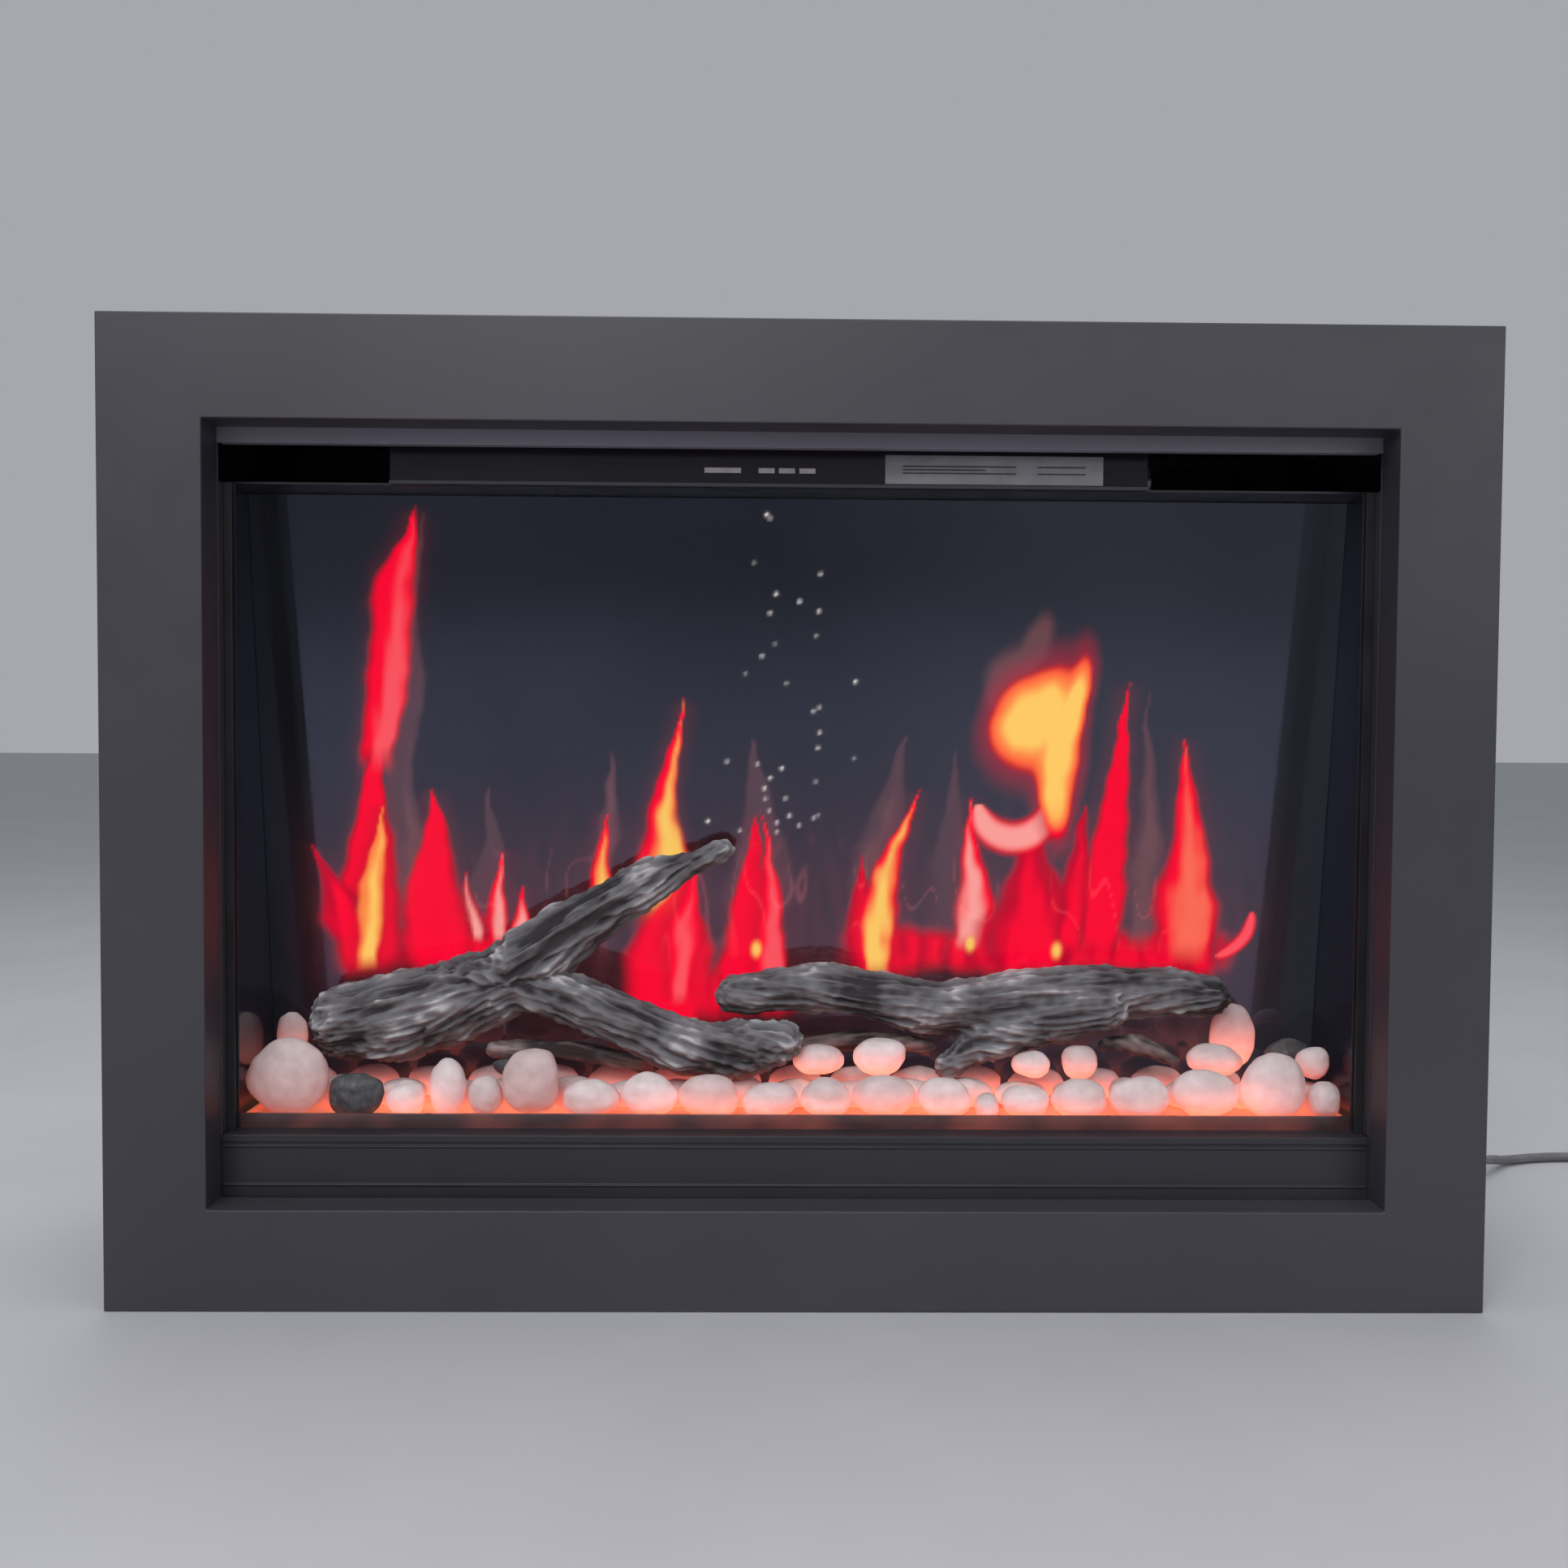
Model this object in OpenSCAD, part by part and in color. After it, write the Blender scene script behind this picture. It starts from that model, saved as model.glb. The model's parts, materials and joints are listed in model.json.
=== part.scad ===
// Electric fireplace insert with a flat surround, a mirrored flame screen, a log and pebble bed,
// a rotating flame reflector and a cross-flow fan heater. X is to the right, Y to the back and
// Z up; the origin is on the floor under the middle of the insert.

/* [Surround] */
// Overall width of the surround
frame_w = 920; // [900:5:940]
// Overall height of the surround
frame_h = 656; // [650:2:664]
// Width of the flat face on each side of the opening
member = 68; // [66:1:70]
// Thickness of the surround's folded sheet
frame_sheet = 2; // [1.5:0.5:2]
// Depth of the return around the outside
outer_lip = 18; // [12:1:20]
// Depth of the return around the opening
inner_lip = 26; // [22:1:26]

/* [Casing] */
// Overall depth, from the surround's face to the reset button
depth = 260; // [256:1:270]
// Width of the casing behind the surround
case_w = 840; // [836:1:850]
// Height of the casing
case_h = 600; // [596:1:604]
// Height of the rubber feet
foot_h = 24; // [20:1:30]
// Thickness of the casing's sheet
sheet = 1.5; // [1:0.1:1.5]

/* [Firebox] */
// Thickness of the front glass
glass_t = 3.6; // [3:0.2:3.8]
// Height of the lower fascia and ledge above the surround's opening
sill_rise = 43; // [40:1:44]
// Height of the outlet slot above the glass
outlet_h = 24; // [20:1:26]
// How far the flame screen leans forward from bottom to top
screen_lean = 51; // [40:1:54]
// Depth of the screen's top edge behind the surround's face
screen_top = 79; // [76:1:84]

/* [Flame effect] */
// Radius of the reflector vanes
vane_r = 24; // [18:1:26]
// Number of vane sets on the shaft
vane_sets = 15; // [9:1:16]
// Vanes in each set
vanes = 4; // [2:1:6]

/* [Heater] */
// Width of the heater module
heater_w = 520; // [500:5:540]
// Sideways position of the heater module
heater_x = -22; // [-30:1:-10]
// Radius of the cross-flow impeller
impeller_r = 23; // [18:1:25]
// Number of impeller blades
impeller_blades = 22; // [12:1:30]

/* [Power cord] */
// Diameter of the mains cord
cord_d = 8; // [7:0.5:9]
// Diameter of the stored coil at the middle of its turns
coil_d = 80; // [80:1:96]

/* [Hidden] */
$fn = 48;

front_y = -depth / 2;
back_y = depth / 2;
open_w = frame_w - 2 * member;
open_h = frame_h - 2 * member;
open_x = open_w / 2;
open_z = member;
open_top = member + open_h;
case_x = case_w / 2;
case_z = foot_h;
case_top = foot_h + case_h;
inner_x = case_x - sheet;
fascia_d = inner_lip + 1;
body_d = fascia_d + sheet;
rear_skin = back_y - 3;
rear_in = rear_skin - sheet;
sill_z = open_z + sill_rise;
slot_top = open_top - 10;
ceiling_z = slot_top - outlet_h;
glass_d = 37.2;
screen_t = 3;
tray_z = 104;
bed_z = 114;
screen_slope = screen_lean / (ceiling_z - 1 - tray_z);
liner_t = 3;
pan_z = case_z + sheet;
flange = 14;
screw_r = 2;
screw_hole_r = 2.2;
head_r = 4;
head_h = 2.4;
wall_hole_r = 2.75;
wall_hole_y = 60;
wall_hole_z = [130, 520];
bracket_z = [150, 506];
bracket_d = 46;
side_screw_y = [-70, 80];
rear_screw_z = [60, 245, 405, 590];
foot_x = 370;
foot_y = [-66, 96];
foot_web = 6;
shaft_r = 3;
shaft_d = 190;
shaft_z = 125;
duct_x = [heater_x - heater_w / 2, heater_x + heater_w / 2];
duct_z = [ceiling_z + 1.6, case_top - 12];
fan_d = 185;
fan_z = 586;
fan_gap = 7;
switch_d = 150;
switch_z = 80;
rocker_tilt = 8;
relief_d = 205;
relief_z = 80;
relief_end = 456;
reset_x = 300;
reset_z = 500;
reset_r = 4;

// Depth of the screen's front face behind the surround's face, at a height z
function screen_depth(z) = screen_top + (ceiling_z - 1 - z) * screen_slope;
// A depth behind the surround's face as a Y coordinate
function yd(d) = front_y + d;

// Power cord: [x, y, z] from the strain relief to the coil, and from the coil to the plug
cord_r = cord_d / 2;
plug_z = 12.5;
coil_x = 775;
coil_y = 150;
coil_turn = coil_d / 2 + cord_d;
cord_route = [
    [relief_end, 75, 80], [470, 75, 80], [490, 75, 80], [510, 80, 75], [530, 90, 65],
    [550, 105, 50], [570, 120, 35], [590, 140, 25], [610, 155, 15], [630, 170, 10], [650, 185, 5],
    [680, 195, cord_r], [710, coil_y + coil_turn, cord_r], [745, coil_y + coil_turn, cord_r],
    [coil_x, coil_y + coil_turn, cord_r]
];
tail_route = [
    [coil_x + 44, coil_y, 11.5], [coil_x + 45, 135, 12], [coil_x + 45, 120, 11],
    [coil_x + 45, 105, 10], [coil_x + 45, 90, 11], [coil_x + 45, 80, 12], [coil_x + 45, 70, plug_z]
];
plug_x = coil_x + 45;
plug_y = 70;

// Logs: a few points along each branch as [x, depth, height, radius], joined by a smooth curve
left_log_trunk = [
    [-325, 90, 175, 28], [-285, 90, 180, 32], [-215, 90, 205, 28], [-125, 90, 270, 18],
    [-55, 90, 300, 8]
];
left_log_branch = [
    [-220, 85, 205, 15], [-150, 80, 190, 20], [-80, 80, 160, 20], [-35, 80, 160, 20],
    [-10, 80, 165, 14]
];
right_log_trunk = [
    [-45, 95, 195, 15], [25, 95, 200, 18], [110, 95, 185, 20], [220, 95, 200, 20],
    [305, 95, 195, 16]
];
right_log_fork = [[110, 85, 145, 9], [150, 90, 170, 18], [220, 90, 190, 22]];
twig_paths = [
    [[0, 105, 155, 6], [50, 105, 160, 8], [100, 105, 155, 5]],
    [[-220, 90, 155, 6], [-165, 90, 155, 8], [-115, 90, 145, 6]],
    [[225, 90, 160, 6], [250, 90, 160, 8], [275, 85, 150, 5]]
];

// Front row of pebbles, side by side from the left: half width and half height of each
front_row = [
    [28, 28], [20, 16], [14, 13], [14, 21], [12, 15], [20, 25], [20, 14], [20, 16], [22, 16],
    [20, 13], [18, 14], [22, 16], [20, 15], [9, 9], [18, 12], [20, 14], [21, 15], [24, 18],
    [24, 24], [12, 14]
];
front_dark = 1;
row_start = -388;
row_gap = 1;
front_d = 60;
front_half_d = 12;

// Rows behind it, and the pebbles that lie on top of them
middle_count = 19;
middle_pitch = 41;
back_count = 17;
back_pitch = 45;
upper_rest = 24;
// Upper pebbles and stones: [x, depth, half width, half depth, half height]
upper_pebbles = [
    [-375, 115, 12, 6, 20], [15, 85, 18, 12, 12], [60, 85, 20, 12, 14], [170, 80, 14, 10, 10],
    [205, 80, 14, 10, 12], [305, 85, 20, 12, 12], [325, 110, 18, 7, 25], [375, 80, 12, 9, 12]
];
upper_stones = [[-205, 80, 14, 6, 7], [365, 105, 16, 8, 12]];

// Middle of a pebble in the front row, from the widths of those before it
function front_x(i) = i == 0 ? row_start + front_row[0][0]
    : front_x(i - 1) + front_row[i - 1][0] + row_gap + front_row[i][0];

// A box from its two corners, each axis as [low, high]
module span(x, y, z) {
    translate([x[0], y[0], z[0]]) cube([x[1] - x[0], y[1] - y[0], z[1] - z[0]]);
}

// The same box with its Y range given as depths behind the surround's face
module slab(x, d, z) {
    span(x, [yd(d[0]), yd(d[1])], z);
}

// Makes a copy on the left and on the right
module both_sides() {
    for (side = [0, 1]) mirror([side, 0, 0]) children();
}

// A rectangular ring around the surround's middle, from depth d to depth d + t
module ring(outer, inner, d, t) {
    difference() {
        translate([-outer[0] / 2, yd(d), (frame_h - outer[1]) / 2]) cube([outer[0], t, outer[1]]);
        translate([-inner[0] / 2, yd(d) - 1, (frame_h - inner[1]) / 2])
            cube([inner[0], t + 2, inner[1]]);
    }
}

// A cylinder along X from x[0] to x[1] at a depth and a height
module rod_x(x, d, z, r) {
    translate([x[0], yd(d), z]) rotate([0, 90, 0]) cylinder(r = r, h = x[1] - x[0]);
}

// A cylinder along Y from y[0] to y[1]
module rod_y(x, y, z, r) {
    translate([x, y[0], z]) rotate([-90, 0, 0]) cylinder(r = r, h = y[1] - y[0]);
}

// A pan-head screw pointing down, its head's underside at z = 0
module screw(shank) {
    difference() {
        union() {
            cylinder(r = head_r, h = head_h - 0.6);
            translate([0, 0, head_h - 0.6]) cylinder(r1 = head_r, r2 = head_r - 0.8, h = 0.6);
            translate([0, 0, -shank]) cylinder(r = screw_r - 0.1, h = shank);
        }
        for (turn = [0, 90]) rotate(turn)
            translate([-0.5, -2.2, head_h - 1.2]) cube([1, 4.4, 2]);
    }
}

// Points of a smooth curve through a path, with n steps between its points
function curve_point(a, b, c, d, t) =
    0.5 * (2 * b + (c - a) * t + (2 * a - 5 * b + 4 * c - d) * t * t
    + (3 * b - a - 3 * c + d) * t * t * t);
function smooth_path(p, n) = [
    for (i = [0:len(p) - 2]) for (k = [0:n - 1])
        curve_point(p[max(i - 1, 0)], p[i], p[i + 1], p[min(i + 2, len(p) - 1)], k / n),
    p[len(p) - 1]
];
function xyz(v) = [v[0], v[1], v[2]];
function unit(v) = v / norm(v);
function heading(p, i) = unit(xyz(p[min(i + 1, len(p) - 1)]) - xyz(p[max(i - 1, 0)]));

// A closed tube along a path of [x, y, z, radius]; up is never parallel to the path
module tube(path, sides, up) {
    points = [
        for (i = [0:len(path) - 1])
            let (t = heading(path, i), across = unit(cross(t, up)), rise = cross(across, t))
            for (k = [0:sides - 1])
                xyz(path[i]) + path[i][3] * (cos(360 * k / sides) * across
                + sin(360 * k / sides) * rise)
    ];
    last = sides * (len(path) - 1);
    walls = [
        for (i = [0:len(path) - 2]) for (k = [0:sides - 1])
            let (a = i * sides + k, b = i * sides + (k + 1) % sides)
            each [[a, b + sides, b], [a, a + sides, b + sides]]
    ];
    ends = [[for (k = [0:sides - 1]) k], [for (k = [0:sides - 1]) last + sides - 1 - k]];
    polyhedron(points = points, faces = concat(ends, walls), convexity = 6);
}

// One branch of a log: a chain of balls along its curve, blended in pairs
module branch(points) {
    path = smooth_path(points, 2);
    for (i = [0:len(path) - 2]) hull() for (p = [path[i], path[i + 1]])
        translate([p[0], yd(p[1]), p[2]]) sphere(r = p[3], $fn = 14);
}

// One pebble of [half width, half depth, half height], its foot resting at a height
module pebble(x, d, size, rest) {
    translate([x, yd(d), rest + size[2]]) scale(size) sphere(r = 1, $fn = 8);
}

// A pebble of the front row
module front_pebble(i) {
    pebble(front_x(i), front_d, [front_row[i][0], front_half_d, front_row[i][1]], bed_z);
}

// Pebbles from a list that lie on the rows below them
module upper(list) {
    for (p = list) pebble(p[0], p[1], [p[2], p[3], p[4]], bed_z + upper_rest);
}

// ---------------------------------------------------------------- surround

module trim_frame() {
    color("#4a494f") union() {
        ring([frame_w, frame_h], [open_w, open_h], 0, frame_sheet);
        ring([frame_w, frame_h], [frame_w - 2 * frame_sheet, frame_h - 2 * frame_sheet], 0, outer_lip);
        ring([open_w + 2 * frame_sheet, open_h + 2 * frame_sheet], [open_w, open_h], 0, inner_lip);
    }
}

module frame_brackets() {
    color("#8a8c90") both_sides() for (z = bracket_z) difference() {
        union() {
            slab([case_x, case_x + 24], [frame_sheet, frame_sheet + sheet], [z - 20, z + 20]);
            slab([case_x, case_x + sheet], [frame_sheet, bracket_d + 14], [z - 20, z + 20]);
        }
        rod_x([case_x - 1, case_x + 4], bracket_d, z, screw_hole_r);
    }
}

// ---------------------------------------------------------------- casing

module base_pan() {
    color("#303236") difference() {
        union() {
            span([-case_x, case_x], [yd(body_d), rear_in], [case_z, pan_z]);
            both_sides() span([inner_x - sheet, inner_x], [yd(body_d), 118], [pan_z, pan_z + flange]);
        }
        for (x = [-foot_x, foot_x], y = foot_y)
            translate([x, y, case_z - 1]) cylinder(r = screw_hole_r, h = 4);
        for (side = [-1, 1], y = side_screw_y)
            translate([side * inner_x, y, pan_z + 8]) rotate([0, 90, 0])
                cylinder(r = screw_hole_r, h = 6, center = true);
    }
}

module top_cover() {
    color("#303236") difference() {
        union() {
            span([-case_x, case_x], [yd(body_d), rear_in], [case_top - sheet, case_top]);
            both_sides() span([inner_x - sheet, inner_x], [yd(body_d), 118],
                [case_top - sheet - flange, case_top - sheet]);
        }
        for (i = [0:19]) span([-252 + 24 * i, -240 + 24 * i], [yd(160), yd(212)],
            [case_top - 3, case_top + 1]);
        for (side = [-1, 1], y = side_screw_y)
            translate([side * inner_x, y, case_top - sheet - 8]) rotate([0, 90, 0])
                cylinder(r = screw_hole_r, h = 6, center = true);
    }
}

// A side panel at positive X, with its rear flange and its screw and fixing holes
module side_panel() {
    difference() {
        union() {
            span([inner_x, case_x], [yd(body_d), rear_in], [pan_z, case_top - sheet]);
            span([inner_x - flange, inner_x], [rear_in - sheet, rear_in],
                [pan_z + 1, case_top - sheet - 1]);
        }
        for (z = bracket_z) rod_x([inner_x - 2, case_x + 2], bracket_d, z, screw_hole_r);
        for (y = side_screw_y, z = [pan_z + 8, case_top - sheet - 8])
            translate([case_x, y, z]) rotate([0, 90, 0]) cylinder(r = screw_hole_r, h = 8, center = true);
        for (y = [-wall_hole_y, wall_hole_y], z = wall_hole_z)
            translate([case_x, y, z]) rotate([0, 90, 0]) cylinder(r = wall_hole_r, h = 8, center = true);
        for (z = rear_screw_z)
            rod_y(inner_x - 7, [rear_in - 4, rear_in + 2], z, screw_hole_r);
    }
}

module left_side_panel() {
    color("#303236") mirror([1, 0, 0]) side_panel();
}

module right_side_panel() {
    color("#303236") difference() {
        side_panel();
        slab([inner_x - 1, case_x + 1], [switch_d - 11, switch_d + 11], [switch_z - 15, switch_z + 15]);
        rod_x([inner_x - 2, case_x + 2], relief_d, relief_z, 8);
    }
}

module rear_panel() {
    color("#303236") difference() {
        span([-case_x, case_x], [rear_in, rear_skin], [case_z, case_top]);
        for (side = [-1, 1], z = rear_screw_z)
            rod_y(side * (inner_x - 7), [rear_in - 2, rear_skin + 2], z, screw_hole_r);
        for (i = [0:17], z = [540, 576]) translate([-244 + 26 * i, 0, z])
            span([0, 5], [rear_in - 1, rear_skin + 1], [0, 26]);
        for (i = [0:9]) translate([180 + 14 * i, 0, 60])
            span([0, 5], [rear_in - 1, rear_skin + 1], [0, 34]);
        rod_y(reset_x, [rear_in - 2, rear_skin + 2], reset_z, reset_r + 0.5);
    }
}

module screws() {
    color("#c4c6ca") {
        both_sides() for (z = bracket_z)
            translate([case_x + sheet, yd(bracket_d), z]) rotate([0, 90, 0]) screw(8);
        both_sides() for (y = side_screw_y, z = [pan_z + 8, case_top - sheet - 8])
            translate([case_x, y, z]) rotate([0, 90, 0]) screw(8);
        for (side = [-1, 1], z = rear_screw_z)
            translate([side * (inner_x - 7), rear_skin, z]) rotate([-90, 0, 0]) screw(8);
        for (x = [-foot_x, foot_x], y = foot_y)
            translate([x, y, foot_h - foot_web]) mirror([0, 0, 1]) screw(8);
    }
}

module rubber_feet() {
    color("#1b1b1d") for (x = [-foot_x, foot_x], y = foot_y) translate([x, y, 0]) difference() {
        union() {
            cylinder(r = 18, h = 6);
            translate([0, 0, 6]) cylinder(r1 = 18, r2 = 15, h = foot_h - 6);
        }
        translate([0, 0, -1]) cylinder(r = 6, h = foot_h - foot_web + 1);
        translate([0, 0, -1]) cylinder(r = screw_hole_r, h = foot_h + 2);
    }
}

// ---------------------------------------------------------------- fascia and glass

module fascia_top_rail() {
    color("#45444b") union() {
        slab([-case_x, case_x], [fascia_d, body_d], [slot_top, case_top]);
        slab([-open_x + 1, open_x - 1], [body_d, body_d + 6], [slot_top, slot_top + sheet]);
    }
}

module fascia_bottom_rail() {
    color("#2c2c31") union() {
        slab([-case_x, case_x], [fascia_d, body_d], [case_z, sill_z - 5]);
        slab([-open_x + 1, open_x - 1], [fascia_d - 2, body_d], [sill_z - 5, sill_z]);
        slab([-open_x + 1, open_x - 1], [fascia_d - 0.8, fascia_d], [open_z + 7.5, open_z + 9]);
        slab([-open_x + 1, open_x - 1], [fascia_d - 0.8, fascia_d], [sill_z - 9, sill_z - 7.6]);
    }
}

module fascia_side_rails() {
    color("#3c3b42") both_sides() union() {
        slab([open_x, case_x], [fascia_d, body_d], [sill_z - 5, slot_top]);
        slab([open_x, open_x + sheet], [body_d, 45], [sill_z, ceiling_z - 1]);
    }
}

module ember_ledge() {
    color("#1e1e22") union() {
        slab([-open_x + 0.5, open_x - 0.5], [body_d, 43], [sill_z - sheet, sill_z]);
        slab([-open_x + 0.5, open_x - 0.5], [43 - sheet, 43], [96, sill_z - sheet]);
    }
}

module media_fence() {
    color("#2a1c1c", 0.6) slab([-open_x + 1, open_x - 1], [43, 46], [96, sill_z + 9.5]);
}

module glass_channels() {
    color("#0c0c0e") both_sides() difference() {
        slab([open_x - 6, open_x - 0.2], [35, 42.8], [sill_z, ceiling_z - 1]);
        slab([open_x - 7, open_x - 2], [glass_d - 0.2, glass_d + glass_t + 0.2],
            [sill_z - 1, ceiling_z]);
    }
}

module front_glass() {
    color("#cfd8dc", 0.2) slab([-open_x + 2.5, open_x - 2.5], [glass_d, glass_d + glass_t],
        [sill_z + 0.2, ceiling_z - 1.2]);
}

module outlet_deflector() {
    color("#1c191f") union() {
        slab(duct_x, [44, 45.2], [ceiling_z + 0.5, slot_top + 8]);
        slab(duct_x, [42, 44], [ceiling_z + 0.5, ceiling_z + 3]);
        for (x = [duct_x[0], duct_x[1] - 1.2])
            slab([x, x + 1.2], [45.2, 48], [ceiling_z + 1.6, slot_top + 8]);
    }
}

module rating_label() {
    color("#8f8b92") slab([57, 207], [43.6, 44], [ceiling_z + 3.6, slot_top - 0.8]);
}

module indicator_lamps() {
    color("#b8b2b6") {
        slab([-67, -42], [43.1, 43.4], [ceiling_z + 10, ceiling_z + 13.5]);
        for (x = [-30, -16, -2]) slab([x, x + 11], [43.1, 43.4], [ceiling_z + 10, ceiling_z + 13.5]);
    }
}

// ---------------------------------------------------------------- firebox

module firebox_ceiling() {
    color("#17171b") slab([-inner_x, inner_x], [46, 218], [ceiling_z, ceiling_z + sheet]);
}

module side_liner() {
    slab([open_x, open_x + liner_t], [45.5, 137], [bed_z, ceiling_z - 0.2]);
}

module left_liner() {
    color("#1b1e26") mirror([1, 0, 0]) side_liner();
}

module right_liner() {
    color("#1b1e26") side_liner();
}

module flame_screen() {
    top = ceiling_z - 1;
    color("#2a303a") rotate([90, 0, 90]) translate([0, 0, -open_x + 0.5])
        linear_extrude(height = open_w - 1) polygon([
            [yd(screen_depth(top)), top], [yd(screen_depth(tray_z)), tray_z],
            [yd(screen_depth(tray_z)) + screen_t, tray_z], [yd(screen_depth(top)) + screen_t, top]
        ]);
}

module screen_rails() {
    color("#56585c") {
        slab([-380, 380], [86, 98], [ceiling_z - sheet, ceiling_z]);
        slab([-380, 380], [86, 86 + sheet], [ceiling_z - 12, ceiling_z - sheet]);
        slab([-380, 380], [134, 146], [bed_z - sheet, bed_z]);
        slab([-380, 380], [134, 134 + sheet], [bed_z, bed_z + 12]);
    }
}

module ember_tray() {
    color("#e9b08a") union() {
        slab([-open_x + 4, open_x - 4], [47, 127], [bed_z - 2, bed_z]);
        for (x = [-open_x + 4, open_x - 6]) slab([x, x + 2], [47, 127], [bed_z, bed_z + 3]);
        for (i = [-3:3]) slab([110 * i - 1, 110 * i + 1], [47, 127], [bed_z - 8, bed_z - 2]);
    }
}

module tray_supports() {
    color("#56585c") both_sides() for (x = [150, 374]) union() {
        slab([x, x + sheet], [52, 124], [pan_z, bed_z - 2]);
        slab([x + sheet, x + 12], [52, 124], [pan_z, pan_z + sheet]);
    }
}

module ember_led_board() {
    color("#e8e6df") for (x = [[-369, -160], [-145, 145], [165, 369]]) {
        slab(x, [80, 96], [70, 71.6]);
        for (e = [x[0] + 4, x[1] - 12]) slab([e, e + 8], [84, 92], [pan_z, 70]);
    }
}

module ember_leds() {
    color("#ffb46a") for (i = [-11:11]) if (abs(abs(32 * i) - 152) > 12)
        slab([32 * i - 2.5, 32 * i + 2.5], [85.5, 90.5], [71.6, 73.2]);
}

module white_pebbles() {
    color("#d9d3d0") {
        for (i = [0:len(front_row) - 1]) if (i != front_dark) front_pebble(i);
        for (i = [0:middle_count - 1])
            pebble((i - (middle_count - 1) / 2) * middle_pitch, 88, [19, 13, 10.5 + sin(100 * i)], bed_z);
        for (i = [0:back_count - 1])
            pebble((i - (back_count - 1) / 2) * back_pitch, 114, [20, 9, 12], bed_z);
        upper(upper_pebbles);
    }
}

module dark_stones() {
    color("#55575a") {
        front_pebble(front_dark);
        upper(upper_stones);
    }
}

module log_left() {
    color("#5a5a5c") union() {
        branch(left_log_trunk);
        branch(left_log_branch);
    }
}

module log_right() {
    color("#5a5a5c") union() {
        branch(right_log_trunk);
        branch(right_log_fork);
    }
}

module twigs() {
    color("#4f413d") for (path = twig_paths) branch(path);
}

// ---------------------------------------------------------------- flame effect

// A flame-shaped opening, drawn from its base, h high and w wide
module flame_opening(w, h) {
    polygon([for (a = [0:15:345]) let (u = (1 - cos(a)) / 2)
        [w / 2 * sin(a) * sin(180 * min(u * 0.75 + 0.12, 1)), h * u]]);
}

module flame_plate() {
    color("#b9bbbf") difference() {
        union() {
            slab([-384, 384], [152, 153.2], [pan_z, 330]);
            slab([-384, 384], [140, 152], [pan_z, pan_z + 1.2]);
        }
        for (i = [-5:5]) translate([68 * i, yd(154), 180 + 12 * cos(150 * i)]) rotate([90, 0, 0])
            linear_extrude(height = 3) flame_opening(44, 110 + 22 * sin(100 * i + 40));
    }
}

module flame_led_board() {
    color("#e8e6df") {
        slab([-350, 350], [158, 172], [60, 61.6]);
        for (x = [-300, -100, 100, 300]) slab([x, x + 10], [162, 168], [pan_z, 60]);
    }
}

module flame_leds() {
    color("#ff8a50") for (i = [-13:13]) slab([25 * i - 2.5, 25 * i + 2.5], [162.5, 167.5], [61.6, 63.4]);
}

module flame_motor() {
    color("#b5b7ba") difference() {
        union() {
            rod_x([-402, -384], shaft_d, shaft_z, 25);
            rod_x([-384, -378], shaft_d, shaft_z, 9);
            slab([-403.5, -386], [shaft_d - 9, shaft_d + 9], [shaft_z - 34, shaft_z - 22]);
        }
        rod_x([-394, -377], shaft_d, shaft_z, shaft_r + 0.08);
    }
}

module motor_bracket() {
    color("#8a8c90") difference() {
        union() {
            slab([-384, -384 + sheet], [shaft_d - 28, shaft_d + 28], [pan_z, shaft_z + 28]);
            slab([-384 + sheet, -368], [shaft_d - 28, shaft_d + 28], [pan_z, pan_z + sheet]);
        }
        rod_x([-386, -381], shaft_d, shaft_z, 9.2);
    }
}

module shaft_bracket() {
    color("#8a8c90") difference() {
        union() {
            slab([372, 372 + sheet], [shaft_d - 16, shaft_d + 16], [pan_z, shaft_z + 16]);
            slab([372 + sheet, 388], [shaft_d - 16, shaft_d + 16], [pan_z, pan_z + sheet]);
        }
        rod_x([370, 376], shaft_d, shaft_z, 7.1);
    }
}

module shaft_bush() {
    color("#e4e0d4") difference() {
        union() {
            rod_x([370, 376], shaft_d, shaft_z, 7);
            rod_x([370, 372], shaft_d, shaft_z, 9.5);
        }
        rod_x([369, 377], shaft_d, shaft_z, shaft_r + 0.06);
    }
}

module flicker_shaft() {
    color("#c9cbce") rod_x([-392, 379], shaft_d, shaft_z, shaft_r);
}

module flicker_vanes() {
    pitch = 690 / (vane_sets - 1);
    color("#dfe1e4") for (i = [0:vane_sets - 1]) translate([-345 + pitch * i, yd(shaft_d), shaft_z])
        rotate([37 * i, 0, 0]) difference() {
            union() {
                rotate([0, 90, 0]) cylinder(r = 6, h = 16, center = true);
                for (v = [0:vanes - 1]) rotate([360 / vanes * v, 0, 0])
                    translate([-15 + 3 * v, -0.4, 4.5]) rotate([0, 0, 14]) cube([24, 0.8, vane_r - 5.5]);
            }
            rotate([0, 90, 0]) cylinder(r = shaft_r + 0.04, h = 50, center = true);
        }
}

// ---------------------------------------------------------------- heater

module heater_duct() {
    color("#9fa2a6") difference() {
        slab(duct_x, [48, 154], duct_z);
        slab([duct_x[0] + 1, duct_x[1] - 1], [47, 155], [duct_z[0] + 1, duct_z[1] - 1]);
    }
}

module heating_element() {
    x = [duct_x[0] + 18, duct_x[1] - 18];
    mid = (duct_z[0] + duct_z[1]) / 2;
    color("#c58b4a") union() {
        for (z = [mid - 18, mid, mid + 18]) slab(x, [92, 108], [z - 1.5, z + 1.5]);
        for (i = [0:60]) slab([x[0] + 8 * i, x[0] + 8 * i + 0.8], [93, 107], [mid - 18, mid + 18]);
        for (e = [x[0] - 16.8, x[1]]) slab([e, e + 16.8], [90, 110], [mid - 21, mid + 21]);
    }
}

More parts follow.
